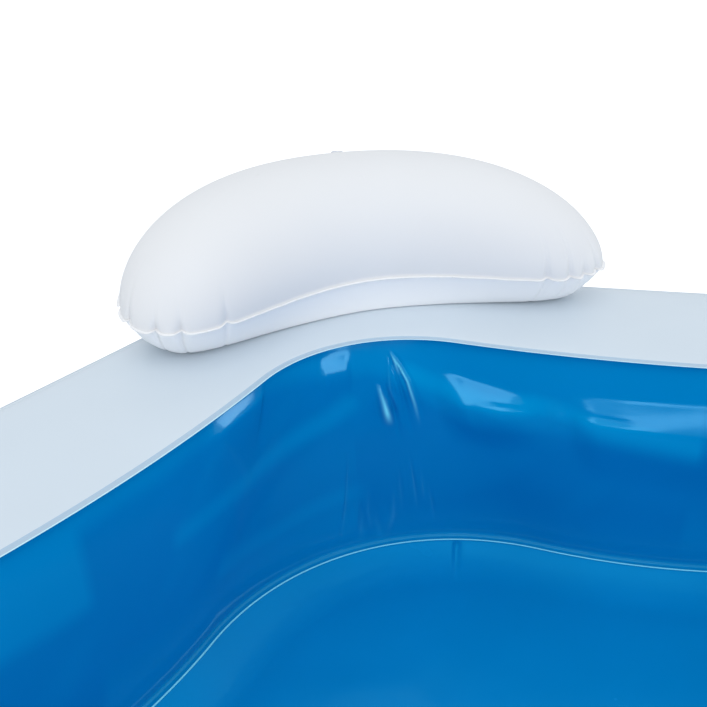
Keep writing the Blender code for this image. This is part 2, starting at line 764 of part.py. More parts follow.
def drain_plug_profile():
    low = FILM + WELD_GAP
    seat = DRAIN_RISE + PLUG_CLEARANCE
    edge = DRAIN_HEAD / 2
    return [
        (0, low),
        (DRAIN_BORE - 2 * PLUG_CLEARANCE, low),
        (DRAIN_BORE - PLUG_CLEARANCE, (low + seat) / 2),
        (DRAIN_BORE - PLUG_CLEARANCE, seat),
        (DRAIN_HEAD_RADIUS, seat),
        (DRAIN_HEAD_RADIUS, seat + edge),
        (DRAIN_HEAD_RADIUS - edge, seat + DRAIN_HEAD),
        (0, seat + DRAIN_HEAD),
    ]


def drain_tab_bmesh():
    bm = bmesh.new()
    top = DRAIN_RISE + PLUG_CLEARANCE + DRAIN_HEAD
    low = (-DRAIN_TAB_WIDTH / 2, -DRAIN_TAB / 2, top - DRAIN_HEAD / 2)
    slab(bm, low, (DRAIN_TAB_WIDTH / 2, DRAIN_TAB / 2, top + DRAIN_TAB_HEIGHT))
    across = [edge for edge in bm.edges if abs(edge.verts[0].co.y - edge.verts[1].co.y) > DRAIN_TAB / 2]
    upper = [edge for edge in across if edge.verts[0].co.z > top]
    bmesh.ops.bevel(
        bm, geom=upper, offset=DRAIN_TAB_ROUND, segments=3, profile=0.5, affect="EDGES", material=-1
    )
    return bm


def make_drain(sheets, finishes):
    place = place_empty("drain_place", None, Matrix.Translation((DRAIN_X, DRAIN_Y, 0)))
    cut_hole(sheets["floor_sheet"], DRAIN_BORE, place, Matrix.Identity(4))
    mesh_object("drain_seat", turned(drain_seat_profile()), finishes["valve"], place)
    plug = mesh_object("drain_plug", turned(drain_plug_profile()), finishes["valve"], place)
    joined(plug, drain_tab_bmesh(), finishes["valve"])


def main():
    for old in list(bpy.data.objects):
        bpy.data.objects.remove(old)
    finishes = make_materials()
    sheets = make_sheets(finishes)
    make_webs(finishes)
    for number in range(1, HEADRESTS + 1):
        make_headrest(number, finishes)
    make_wall_valve(sheets, finishes)
    make_drain(sheets, finishes)


main()
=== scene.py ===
"""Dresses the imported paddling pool: film skins with welds, creases and puckers, valve finishes and a studio.

Metres, +Z up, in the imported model's frame. The headrest that the photograph shows is at +Y.
"""

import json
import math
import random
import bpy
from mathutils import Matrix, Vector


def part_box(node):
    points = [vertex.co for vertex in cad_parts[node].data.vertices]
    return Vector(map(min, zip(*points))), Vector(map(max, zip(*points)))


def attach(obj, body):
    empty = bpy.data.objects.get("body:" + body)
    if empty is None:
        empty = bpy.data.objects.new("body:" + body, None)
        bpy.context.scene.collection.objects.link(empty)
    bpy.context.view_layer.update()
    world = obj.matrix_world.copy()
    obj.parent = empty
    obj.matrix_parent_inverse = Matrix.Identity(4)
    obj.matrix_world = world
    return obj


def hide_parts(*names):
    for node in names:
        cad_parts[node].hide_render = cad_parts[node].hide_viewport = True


bl_info = {
    "name": "Inflatable Paddling Pool",
    "version": (1, 0, 0),
    "blender": (4, 5, 0),
    "location": "View3D > Sidebar > Pool",
    "description": "Builds the vinyl skins, headrests, valves and studio of a six-sided inflatable pool",
    "category": "Add Mesh",
}

from collections import namedtuple

import bmesh
import bpy
from bpy.props import FloatProperty, FloatVectorProperty, IntProperty, PointerProperty
from mathutils import Matrix, Vector, noise

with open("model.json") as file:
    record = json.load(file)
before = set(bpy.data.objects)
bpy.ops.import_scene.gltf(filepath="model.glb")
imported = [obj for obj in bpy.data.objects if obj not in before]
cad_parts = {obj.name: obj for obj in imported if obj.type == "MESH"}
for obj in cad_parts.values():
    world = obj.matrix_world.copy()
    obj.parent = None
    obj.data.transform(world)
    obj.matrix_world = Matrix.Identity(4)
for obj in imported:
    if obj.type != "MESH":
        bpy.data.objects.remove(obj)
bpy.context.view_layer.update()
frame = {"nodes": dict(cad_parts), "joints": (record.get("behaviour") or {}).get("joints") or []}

# Film, welds and plan of the walls
FILM = 0.0004
WELD_GAP = 0.0003
PITCH = FILM + WELD_GAP
TOP_LIP = 0.010
FLOOR_LIP = 0.015
WELD_BAND = 0.011
# EDGE_BEAD and SEAM_BEAD are the widths of the painted highlight rings along the top film's cut edge and along
# the floor seam
EDGE_BEAD = 0.0020
SEAM_BEAD = 0.0030
SIDES = 6
FLAT_TO_FLAT = 2.74
WALL_WIDTH = 0.306
OUTER_CORNER_RADIUS = 0.37
OUTER_BOW = math.radians(1.1)
INNER_CORNER_RADIUS = 0.281
INNER_BOW = math.radians(9.1)
FLOOR_INSET = 0.0155
FLOOR_CORNER_RADIUS = 0.4835
FLOOR_BOW = math.radians(12.0)
BULGE_POWER = 2.4
CROWN_POWER = 0.62
FLOOR_FALL_WIDTH = 0.095
BASE_RISE_WIDTH = 0.060

# Rows of the grids across the sheets
TOP_ROWS = 36
OUTER_ROWS = 30
INNER_FINE_ROWS = 36
INNER_FINE_SHARE = 0.42
INNER_COARSE_ROWS = 24
BASE_RISE_ROWS = 8
FLOOR_FALL_ROWS = 28
FLOOR_FLAT_ROWS = 48
SAME_POINT = 1e-6

# Holes for the valves, the drain and the air
STEM_RADIUS = 0.0052
VALVE_NECK_RADIUS = 0.0190
DRAIN_BORE = 0.0100
DRAIN_FLANGE_RADIUS = 0.026
WEB_CLEARANCE = 0.0005
AIR_HOLE_RADIUS = 0.035
AIR_HOLE_HEIGHT_SHARES = (0.32, 0.70)
HOLE_STEPS = 48
HOLE_DEPTH = 0.02

Outline = namedtuple("Outline", "apothem bow radius")
Station = namedtuple("Station", "turn part share side way")
Row = namedtuple("Row", "first second mix height share slot")
Ripple = namedtuple("Ripple", "height size seed upright", defaults=(1.0,))
# A crease: its points, width and depth, the share along it where its crest lies, and how much painted
# highlight runs along it
Crease = namedtuple("Crease", "points width depth crest white")
Fold = namedtuple("Fold", "start end top to_top height to_height slope tail fade")

HALF_SIDE_ANGLE = math.pi / SIDES
OUTER_EDGE = Outline(FLAT_TO_FLAT / 2, OUTER_BOW, OUTER_CORNER_RADIUS)
INNER_EDGE = Outline(FLAT_TO_FLAT / 2 - WALL_WIDTH, INNER_BOW, INNER_CORNER_RADIUS)
FLOOR_EDGE = Outline(INNER_EDGE.apothem - FLOOR_INSET, FLOOR_BOW, FLOOR_CORNER_RADIUS)

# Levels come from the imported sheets
TOP_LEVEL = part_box("top_sheet")[0].z + FILM / 2
UNDER_TOP_LEVEL = TOP_LEVEL - PITCH
SEAM_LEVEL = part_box("inner_wall")[0].z + FILM / 2
GROUND_LEVEL = FILM / 2


# Sizes and colours that a user would change

def length_setting(name, description, default):
    return FloatProperty(name=name, description=description, default=default, unit="LENGTH")


def strength_setting(name, description, default):
    return FloatProperty(name=name, description=description, default=default)


def colour_setting(name, description, default):
    return FloatVectorProperty(name=name, description=description, default=default, subtype="COLOR")


class PoolShape(bpy.types.PropertyGroup):
    top_crown: length_setting("Top crown", "How far the top sheet rises between its welds", 0.0097)
    inner_bulge: length_setting("Inner bulge", "How far the inner wall swells towards the water", 0.018)
    outer_bulge: length_setting("Outer bulge", "How far the outer wall swells", 0.009)
    floor_ripple: length_setting("Floor ripple", "Height of the floor's loose ripples", 0.006)
    crease_seed: IntProperty(name="Crease seed", description="Start of the creases' random places", default=7)


class HeadrestShape(bpy.types.PropertyGroup):
    seam_height: length_setting("Seam height", "Height of the seam above the headrest's foot", 0.0681)
    crown: length_setting("Crown", "Height of the crest above the seam", 0.1739)
    lip: length_setting("Seam lip", "Width of the welded lip", 0.006)
    pucker: length_setting("Pucker", "How far a pucker draws the seam in", 0.010)


class VinylColours(bpy.types.PropertyGroup):
    top: colour_setting("Top", "Pale film of the walls' top", (0.66, 0.735, 0.80))
    weld: colour_setting("Weld band", "Double film along the inner edge", (0.44, 0.58, 0.71))
    # Painted highlight: a pale ring along the top film's inner cut edge, standing for the light that edge
    # catches
    edge: colour_setting("Cut edge", "Bright cut edge of the film", (0.62, 0.92, 1.0))
    wall: colour_setting("Wall", "Blue film of the walls", (0.0, 0.212, 0.545))
    # Painted light: a lighter blue mixed into the inner wall where light would come through it
    wall_painted_light: colour_setting("Wall, light", "The walls' film where light comes through", (0.0, 0.34, 0.69))
    wall_weld: colour_setting("Wall, welded", "Double blue film along the welds", (0.0, 0.27, 0.60))
    # Painted highlight: a pale line along the wall's edge at the floor seam
    seam_edge: colour_setting("Floor seam edge", "Cut edge of the wall at the floor", (0.24, 0.80, 1.0))
    # Painted highlight: a pale blue mixed into the wall along sharp creases, standing for the glint of the
    # lamps on their flanks
    wall_painted_glint: colour_setting("Wall, creased", "The walls' film along sharp creases", (0.20, 0.80, 1.0))
    floor: colour_setting("Floor", "Blue film of the floor", (0.0, 0.24, 0.58))
    headrest: colour_setting("Headrest", "White film of the headrests", (0.81, 0.805, 0.81))
    plastic: colour_setting("Valves", "Moulded plastic of the valves", (0.82, 0.84, 0.88))
    rubber: colour_setting("Flap", "Rubber of the valve's flap", (0.50, 0.53, 0.56))


class StudioSettings(bpy.types.PropertyGroup):
    ambient: strength_setting("Ambient", "Strength of the even light", 0.86)
    key: strength_setting("Key", "Radiance of the large lamp", 0.8)
    strip: strength_setting("Strips", "Radiance of the low lamps that the film reflects", 3.6)
    fill: strength_setting("Fill", "Strength of the low and far light", 0.75)
    floor_glow: strength_setting("Floor glow", "What the floor adds for the camera", 0.5)


# Outlines seen from above

def moved_out(outline, distance):
    return Outline(outline.apothem + distance, outline.bow, outline.radius + distance)


def scaled(outline, share):
    return Outline(outline.apothem * share, outline.bow, outline.radius * share)


def between(first, second, share):
    return Outline(*(a + (b - a) * share for a, b in zip(first, second)))


def side_radius(outline):
    """The radius of the arc along which a side bows in."""
    rise = math.tan(HALF_SIDE_ANGLE)
    reach = math.sin(outline.bow) + rise * math.cos(outline.bow)
    return (rise * outline.apothem - outline.radius * reach) / (reach - rise)


def corner_half():
    """Length of half a corner's arc along the inner edge."""
    return INNER_EDGE.radius * (HALF_SIDE_ANGLE + INNER_EDGE.bow)


def side_length():
    """Length along the inner edge from the middle of one corner to the middle of the next."""
    return 2 * corner_half() + 2 * side_radius(INNER_EDGE) * INNER_EDGE.bow


def stations(corner_steps, side_steps, first_steps=None):
    """Stations clockwise round the pool from the corner at +Y, with their way along each side.

    The first corner, which the photograph shows, may have finer steps than the others.
    """
    half, whole = corner_half(), side_length()
    made = []
    for side in range(SIDES):
        turn = HALF_SIDE_ANGLE * (2 * side + 1)
        before = first_steps or corner_steps if side == 0 else corner_steps
        after = first_steps or corner_steps if side == SIDES - 1 else corner_steps
        for step in range(before):
            made.append(Station(turn, -1, step / before, side, half * step / before))
        for step in range(side_steps + 1):
            share = step / side_steps
            made.append(Station(turn, 0, share, side, half + (whole - 2 * half) * share))
        for step in range(after - 1, 0, -1):
            made.append(Station(turn, 1, step / after, side, whole - half * step / after))
    return made


def nearest_corner(stop):
    """The corner nearest to a station and the signed distance from its middle."""
    whole = side_length()
    if stop.way <= whole / 2:
        return stop.side, stop.way
    return (stop.side + 1) % SIDES, stop.way - whole


def ring(outline, stops):
    """The point and the outward direction of an outline at each station."""
    arc = side_radius(outline)
    across = (arc + outline.radius) * math.sin(outline.bow)
    out = outline.apothem + arc - (arc + outline.radius) * math.cos(outline.bow)
    made = []
    for stop in stops:
        if stop.part:
            angle = HALF_SIDE_ANGLE - stop.share * (HALF_SIDE_ANGLE + outline.bow)
            u = stop.part * (across + outline.radius * math.sin(angle))
            v = out + outline.radius * math.cos(angle)
            away_u, away_v = stop.part * math.sin(angle), math.cos(angle)
        else:
            angle = outline.bow * (2 * stop.share - 1)
            u, v = arc * math.sin(angle), outline.apothem + arc * (1 - math.cos(angle))
            away_u, away_v = -math.sin(angle), math.cos(angle)
        sine, cosine = math.sin(stop.turn), math.cos(stop.turn)
        point = Vector((v * sine + u * cosine, v * cosine - u * sine, 0))
        made.append((point, Vector((away_v * sine + away_u * cosine, away_v * cosine - away_u * sine, 0))))
    return made


def swell(share):
    return 1 - abs(2 * share - 1) ** BULGE_POWER


def eased(count, power=1.6):
    """Shares from 0 to 1, closer together at both ends."""
    made = []
    for step in range(count + 1):
        share = 2 * step / count - 1
        made.append((1 + math.copysign(1 - (1 - abs(share)) ** power, share)) / 2)
    return made


# Wrinkles of the film: the height and size of their ripples, a seed, and how fast they change upwards

TOP_WAVE = Ripple(0.0009, 0.30, 0.0)
TOP_GATHER = Ripple(0.0007, 0.035, 3.0)
TOP_GATHER_REACH = 0.02
TOP_SETTLE = 0.0006
WALL_WAVE = Ripple(0.0020, 0.30, 0.0)
WALL_DIMPLE = Ripple(0.0004, 0.09, 5.0)
WALL_GATHER = Ripple(0.0009, 0.028, 9.0, 0.2)
OUTER_WAVE = Ripple(0.0018, 0.25, 2.0)
OUTER_GATHER = Ripple(1.0, 0.03, 4.0, 0.15)
OUTER_GATHER_HEIGHTS = (0.0006, 0.0014)
OUTER_GATHER_SHARE = 0.09
OUTER_SETTLE = 0.0012
FLOOR_WAVE = Ripple(1.0, 0.42, 1.0)
FLOOR_RIDGE = Ripple(1.0, 0.30, 6.0)
FLOOR_RIDGE_ZONE = Ripple(1.0, 0.5, 8.0)
FLOOR_GATHER = Ripple(0.35, 0.05, 2.0, 0.0)


def ripple(point, kind):
    """A smooth random height whose bumps are about as wide as the ripple's size."""
    x, y, z = point.x / kind.size, point.y / kind.size, point.z * kind.upright / kind.size
    return kind.height * noise.noise(Vector((x, y, z + kind.seed)))


def ease(share):
    share = min(1.0, max(0.0, share))
    return share * share * (3 - 2 * share)


def steady(share, soft=0.12):
    """From 0 to 1 at an even slope, with short soft ends."""
    if share <= 0 or share >= 1:
        return float(share >= 1)
    if share < soft:
        return share * share / (2 * soft * (1 - soft))
    if share > 1 - soft:
        return 1 - (1 - share) ** 2 / (2 * soft * (1 - soft))
    return (share - soft / 2) / (1 - soft)


def on_line(points, x, y):
    """How far a place is off a line of points, and its share of the way along the line."""
    legs = [(a, b, math.dist(a, b)) for a, b in zip(points, points[1:])]
    whole, run, best = sum(leg[2] for leg in legs), 0.0, (9.0, 0.0)
    for (ax, ay), (bx, by), length in legs:
        share = ((x - ax) * (bx - ax) + (y - ay) * (by - ay)) / length**2
        share = min(1.0, max(0.0, share))
        off = math.hypot(x - ax - (bx - ax) * share, y - ay - (by - ay) * share)
        best = min(best, (off, (run + share * length) / whole))
        run += length
    return best


# A crease across, in its own widths: how far it is looked for, its reach, how it widens, its side troughs and
# the width of its painted highlight
CREASE_BOX = 5
CREASE_REACH = 3.5
CREASE_START = 0.55
CREASE_GROWTH = 0.7
TROUGH_SHARE = 0.3
TROUGH_PLACE = 1.8
PAINTED_GLINT_WIDTH = 0.55


def crease_push_and_glint(creases, along, drop):
    """How far the creases push the film at a place along and below a corner's top, and how much painted
    highlight they put there.
    """
    push = white = 0.0
    for crease in creases:
        reach = CREASE_BOX * crease.width
        (x0, y0), (x1, y1) = crease.points[0], crease.points[-1]
        if not min(x0, x1) - reach < along < max(x0, x1) + reach or not y0 - reach < drop < y1 + reach:
            continue
        off, share = on_line(crease.points, along, drop)
        off /= crease.width * (CREASE_START + CREASE_GROWTH * share)
        if off > CREASE_REACH:
            continue
        height = share / crease.crest if share < crease.crest else ease((1 - share) / (1 - crease.crest))
        ridge = math.exp(-(off**2)) - TROUGH_SHARE * math.exp(-((off - TROUGH_PLACE) ** 2))
        push += crease.depth * height * ridge
        # painted highlight along the crease's crest
        white += crease.white * height * math.exp(-((off / PAINTED_GLINT_WIDTH) ** 2))
    return push, min(1.0, white)


def fold_push(folds, way, drop):
    """How far the soft folds below the top weld bring the film towards the water."""
    push = 0.0
    for fold in folds:
        share = (way - fold.start) / (fold.end - fold.start)
        if not 0 < share < 1:
            continue
        top = fold.top + (fold.to_top - fold.top) * share
        height = fold.height + (fold.to_height - fold.height) * share
        window = ease((way - fold.start) / fold.fade) * ease((fold.end - way) / fold.fade)
        shape = steady((drop - top) / height) * (1 - ease((drop - top - height) / fold.tail))
        push += fold.slope * height * shape * window
    return push


# Creases of the photographed corner: two pinches right of its middle, a long fold and a fan above the floor
SEEN_CREASES = (
    Crease(
        ((0.071, 0.027), (0.082, 0.051), (0.090, 0.079), (0.094, 0.123), (0.095, 0.175)),
        0.0040, -0.0075, 0.2, 1.0,
    ),
    Crease(((0.072, 0.028), (0.076, 0.044), (0.080, 0.072)), 0.0036, -0.0034, 0.4, 1.0),
    Crease(((0.066, 0.026), (0.074, 0.060), (0.079, 0.105), (0.082, 0.200)), 0.0040, 0.0050, 0.35, 0.0),
    Crease(((0.066, 0.030), (0.060, 0.094), (0.067, 0.150)), 0.0040, -0.0030, 0.5, 0.05),
    Crease(((0.041, 0.080), (0.047, 0.116), (0.053, 0.168)), 0.0072, -0.0090, 0.64, 1.0),
    Crease(((0.054, 0.080), (0.061, 0.120), (0.064, 0.210)), 0.0040, 0.0040, 0.4, 0.0),
    Crease(((-0.011, 0.190), (-0.014, 0.300), (-0.020, 0.424)), 0.0026, 0.0034, 0.5, 0.06),
    Crease(((0.001, 0.310), (0.006, 0.350), (0.004, 0.424)), 0.0052, 0.0026, 0.6, 0.04),
    Crease(((0.015, 0.290), (0.012, 0.345), (0.018, 0.405)), 0.0040, -0.0018, 0.4, 0.04),
    Crease(((0.021, 0.330), (0.027, 0.424)), 0.0056, 0.0024, 0.7, 0.03),
    Crease(((0.046, 0.300), (0.042, 0.360), (0.031, 0.424)), 0.0048, -0.0030, 0.5, 0.08),
    Crease(((0.056, 0.250), (0.052, 0.380)), 0.0034, 0.0018, 0.3, 0.04),
    Crease(((0.073, 0.225), (0.070, 0.370)), 0.0026, 0.0024, 0.4, 0.08),
    Crease(((0.084, 0.255), (0.079, 0.340)), 0.0024, -0.0016, 0.6, 0.06),
    Crease(((0.090, 0.290), (0.086, 0.400)), 0.0026, 0.0014, 0.4, 0.05),
    Crease(((0.400, 0.104), (0.450, 0.110), (0.520, 0.114)), 0.0050, 0.0018, 0.2, 0.0),
    Crease(((0.215, 0.106), (0.250, 0.112), (0.285, 0.113)), 0.0050, 0.0014, 0.5, 0.0),
)

# Bands of painted light on the photographed corner: points, half width and share
SEEN_BANDS = (
    (
        ((0.098, 0.066), (0.135, 0.086), (0.230, 0.115), (0.320, 0.100), (0.450, 0.128), (0.640, 0.150)),
        0.050, 1.0,
    ),
    (((-0.400, 0.150), (-0.188, 0.157), (-0.047, 0.132), (-0.010, 0.112)), 0.036, 0.48),
    (((-0.230, 0.286), (-0.113, 0.309), (-0.020, 0.296)), 0.044, 0.42),
)

# Soft folds below the top weld, placed by their way from the photographed corner: right of it, then left
SEEN_FOLDS = (
    Fold(0.122, 0.325, 0.050, 0.086, 0.074, 0.034, 0.24, 0.09, 0.054),
    Fold(0.380, 0.900, 0.072, 0.056, 0.052, 0.084, 0.24, 0.13, 0.024),
    Fold(-0.060, 0.006, 0.015, 0.012, 0.034, 0.036, 0.10, 0.08, 0.016),
    Fold(-0.346, -0.172, 0.004, 0.003, 0.030, 0.023, 0.29, 0.10, 0.026),
)


# Random creases of the other corners: two pinches that part below the top, and a fan above the floor
PINCH = Crease(None, 0.0110, -0.008, 0.4, 0.3)
FAN = Crease(None, 0.010, None, 0.5, 0.04)
FAN_COUNT = 6


def corner_creases(seed):
    """A set of creases for each corner: the photographed one at +Y and random ones of the same kind."""
    draw = random.Random(seed)
    sets = [SEEN_CREASES]
    for _ in range(SIDES - 1):
        made = []
        middle = draw.uniform(-0.07, 0.07)
        for way in (-1, 1):
            start = (middle, draw.uniform(0.02, 0.04))
            foot = (middle + way * draw.uniform(0.02, 0.035), draw.uniform(0.15, 0.22))
            made.append(PINCH._replace(points=(start, foot)))
        for _ in range(FAN_COUNT):
            start = draw.uniform(-0.11, 0.11)
            foot = (start + draw.uniform(-0.015, 0.015), draw.uniform(0.36, 0.42))
            depth = draw.choice((-1, 1)) * draw.uniform(0.0018, 0.0030)
            made.append(FAN._replace(points=((start, draw.uniform(0.20, 0.30)), foot), depth=depth))
        sets.append(tuple(made))
    return sets


# Making pieces

def linked(name, data):
    made = bpy.data.objects.new(name, data)
    bpy.context.scene.collection.objects.link(made)
    return made


def piece(name, bm, materials):
    """A smooth object at the origin, linked to the scene."""
    mesh = bpy.data.meshes.new(name)
    bm.to_mesh(mesh)
    bm.free()
    mesh.shade_smooth()
    for material in materials:
        mesh.materials.append(material)
    return linked(name, mesh)


def stand_for(made, node, body):
    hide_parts(node)
    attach(made, body)


def film_piece(name, bm, materials):
    """A piece whose mesh gets the film's thickness."""
    made = piece(name, bm, materials)
    solidify = made.modifiers.new("film", "SOLIDIFY")
    solidify.thickness = FILM
    solidify.offset = 0.0
    return made


def row_points(row, stops):
    """The point and the outward direction of a row at each station."""
    points = ring(row.first, stops)
    if row.mix:
        pairs = zip(points, ring(row.second, stops))
        points = [(a[0].lerp(b[0], row.mix), a[1].lerp(b[1], row.mix).normalized()) for a, b in pairs]
    return [(point + Vector((0, 0, row.height)), away) for point, away in points]


def wrapped_film(name, rows, stops, push, materials, marks=None):
    """A film round the pool: a grid whose columns are stations and whose rows run across the sheet.

    Rows without a share lie in a weld and stay flat. The function marks gives two shares for a place: how much
    painted light it gets, and how much painted highlight along a crease.
    """
    columns, last = len(stops), len(rows) - 1
    bm = bmesh.new()
    bmesh.ops.create_grid(bm, x_segments=columns, y_segments=last, size=0.5)
    glow, white = bm.verts.layers.float.new("glow"), bm.verts.layers.float.new("white")
    for face in bm.faces:
        face.material_index = rows[int((face.calc_center_median().y + 0.5) * last)].slot
    rings = [row_points(row, stops) for row in rows]
    for vertex in bm.verts:
        column = round((vertex.co.x + 0.5) * columns) % columns
        number = round((vertex.co.y + 0.5) * last)
        stop, row = stops[column], rows[number]
        point, away = rings[number][column]
        welded = row.share is None
        vertex.co = point if welded else point + push(stop, row, point, away)
        if marks:
            vertex[glow], vertex[white] = (1.0, 0.0) if welded else marks(stop, row, point)
    bmesh.ops.remove_doubles(bm, verts=bm.verts, dist=SAME_POINT)
    bmesh.ops.recalc_face_normals(bm, faces=bm.faces)
    return film_piece(name, bm, materials)


def film_section(rows, push, stop, outwards, upwards):
    """The points of a film between its welds at one station, moved off the film."""
    made = []
    for row in rows:
        if row.share is not None:
            point, away = row_points(row, [stop])[0]
            made.append(point + push(stop, row, point, away) + away * outwards + Vector((0, 0, upwards)))
    return made[1:-1]


def same_row(outline, height, share=None, slot=0):
    return Row(outline, outline, 0.0, height, share, slot)


def cut_hole(made, place, radius):
    """A round hole along a place's Z axis, cut with a Boolean that is then applied."""
    bm = bmesh.new()
    bmesh.ops.create_cone(
        bm, cap_ends=True, segments=HOLE_STEPS, radius1=radius, radius2=radius, depth=HOLE_DEPTH, matrix=place
    )
    cutter = piece("cutter_" + made.name, bm, [])
    hole = made.modifiers.new("hole", "BOOLEAN")
    hole.operation = "DIFFERENCE"
    hole.solver = "EXACT"
    hole.object = cutter
    bpy.context.view_layer.update()
    shaped = bpy.data.meshes.new_from_object(made.evaluated_get(bpy.context.evaluated_depsgraph_get()))
    made.modifiers.clear()
    made.data = shaped
    bpy.data.objects.remove(cutter)


# Shader node groups

# Sockets of a Mix node that hold its two colours and its result
MIX_A, MIX_B, MIX_RESULT = 6, 7, 2


def group(name, inputs, output, kind):
    """An empty node group, the sockets that feed it, of their defaults' kinds, and its result."""
    tree = bpy.data.node_groups.new(name, "ShaderNodeTree")
    for label, default in inputs.items():
        form = "Vector" if default is None else "Color" if isinstance(default, tuple) else "Float"
        socket = tree.interface.new_socket(label, in_out="INPUT", socket_type="NodeSocket" + form)
        if default is not None:
            socket.default_value = default
    tree.interface.new_socket(output, in_out="OUTPUT", socket_type="NodeSocket" + kind)
    ins, outs = tree.nodes.new("NodeGroupInput"), tree.nodes.new("NodeGroupOutput")
    return tree, ins.outputs, outs.inputs[output]


def feed(tree, made, values):
    """Gives a node its inputs: a socket is wired in, and anything else is a plain value."""
    for key, value in values.items():
        if isinstance(value, bpy.types.NodeSocket):
            tree.links.new(value, made.inputs[key])
        else:
            made.inputs[key].default_value = value


def node(tree, kind, values=None, out=None, **settings):
    """A node with its settings and inputs, or one of that node's outputs."""
    made = tree.nodes.new(kind)
    for key, value in settings.items():
        setattr(made, key, value)
    feed(tree, made, values or {})
    return made if out is None else made.outputs[out]


def reckoned(tree, operation, first, second):
    return node(tree, "ShaderNodeMath", {0: first, 1: second}, 0, operation=operation)


def mixed(tree, share, first, second):
    values = {"Factor": share, MIX_A: first, MIX_B: second}
    return node(tree, "ShaderNodeMix", values, MIX_RESULT, data_type="RGBA")


def clouds(tree, ins, scale="Scale", **values):
    """Noise at the vector and the scale that a group is given."""
    return node(tree, "ShaderNodeTexNoise", {"Vector": ins["Vector"], "Scale": ins[scale], **values}, "Fac")


def mottle_group():
    """Film colour that drifts a little lighter and darker over the surface."""
    inputs = {"Vector": None, "Light": (1, 1, 1, 1), "Dark": (0, 0, 0, 1), "Scale": 3.0}
    tree, ins, result = group("film_mottle", inputs, "Color", "Color")
    drift = {"Value": clouds(tree, ins, Detail=3.0, Roughness=0.5), "From Min": 0.3, "From Max": 0.7}
    share = node(tree, "ShaderNodeMapRange", drift, "Result")
    tree.links.new(mixed(tree, share, ins["Dark"], ins["Light"]), result)
    return tree


def gloss_group():
    """Roughness with faint handling marks and a fine grain."""
    inputs = {"Vector": None, "Smooth": 0.15, "Rough": 0.3, "Scale": 6.0}
    tree, ins, result = group("film_gloss", inputs, "Roughness", "Float")
    marks = clouds(tree, ins, Detail=6.0, Roughness=0.6, Distortion=0.8)
    ends = {"From Min": 0.35, "From Max": 0.7, "To Min": ins["Smooth"], "To Max": ins["Rough"]}
    tree.links.new(node(tree, "ShaderNodeMapRange", {"Value": marks, **ends}, "Result"), result)
    return tree


def skin_group():
    """Normal of a film: long soft waves and a very fine embossed grain."""
    inputs = {"Vector": None, "Wave Scale": 9.0, "Wave": 0.002, "Grain Scale": 900.0, "Grain": 0.00002}
    tree, ins, result = group("film_skin", inputs, "Normal", "Vector")
    waves = clouds(tree, ins, "Wave Scale", Detail=2.0, Roughness=0.45)
    grain = clouds(tree, ins, "Grain Scale", Detail=1.0)
    heights = reckoned(tree, "MULTIPLY", waves, ins["Wave"]), reckoned(tree, "MULTIPLY", grain, ins["Grain"])
    bump = {"Strength": 1.0, "Distance": 1.0, "Height": reckoned(tree, "ADD", *heights)}
    tree.links.new(node(tree, "ShaderNodeBump", bump, "Normal"), result)
    return tree


# Materials

SHARED = {}
WHITE = (1.0, 1.0, 1.0)
BLUE_GLOSS = (0.25, 0.7, 1.0)
FLOOR_GLOSS = (0.03, 0.6, 1.0)
VINYL_IOR = 1.53
MOTTLE_SCALE = 2.5
HANDLING_SCALE = 5.0


def placed(tree, maker, values):
    """The result of a shared group, built when it is first asked for and placed with values of its own."""
    if maker not in SHARED:
        SHARED[maker] = maker()
    return node(tree, "ShaderNodeGroup", values, 0, node_tree=SHARED[maker])


def blank_material(name):
    """A new material with its node tree and its shader."""
    made = bpy.data.materials.new(name)
    made.use_nodes = True
    return made, made.node_tree, made.node_tree.nodes["Principled BSDF"]


def tinted(colour, share):
    """A colour made lighter or darker by a share of itself, with full alpha."""
    return (*(min(1.0, c * (1 + share)) for c in colour), 1.0)


def film_material(name, colour, smooth, rough, vary, tint=WHITE, wave=0.0, wave_scale=9.0, grain=0.00001):
    """Vinyl film: drifting colour, uneven gloss, a soft skin and reflections tinted by its dye."""
    _, tree, shader = blank_material(name)
    place = {"Vector": node(tree, "ShaderNodeTexCoord", out="Object")}
    shades = {"Light": tinted(colour, vary), "Dark": tinted(colour, -vary), "Scale": MOTTLE_SCALE}
    gloss = {"Smooth": smooth, "Rough": rough, "Scale": HANDLING_SCALE}
    skin = {"Wave": wave, "Wave Scale": wave_scale, "Grain": grain}
    feed(tree, shader, {
        "Base Color": placed(tree, mottle_group, place | shades),
        "Roughness": placed(tree, gloss_group, place | gloss),
        "Normal": placed(tree, skin_group, place | skin),
        "IOR": VINYL_IOR,
        "Specular Tint": (*tint, 1),
    })
    return tree, shader


def wall_material(name, colour, light, white):
    """Glossy blue film with painted light mixed in where light would come through, and a painted highlight
    along sharp creases.
    """
    tree, shader = film_material(name, colour, 0.08, 0.18, 0.04, BLUE_GLOSS, wave=0.0006, wave_scale=6.0)
    # light is the painted light's colour; white is the colour of the creases' painted highlight
    last = shader.inputs["Base Color"].links[0].from_socket
    for mark, shade in (("glow", light), ("white", white)):
        share = node(tree, "ShaderNodeAttribute", out="Fac", attribute_name=mark)
        # mixes in the painted light, then the painted highlight of the creases
        last = mixed(tree, share, last, (*shade, 1))
    feed(tree, shader, {"Base Color": last})


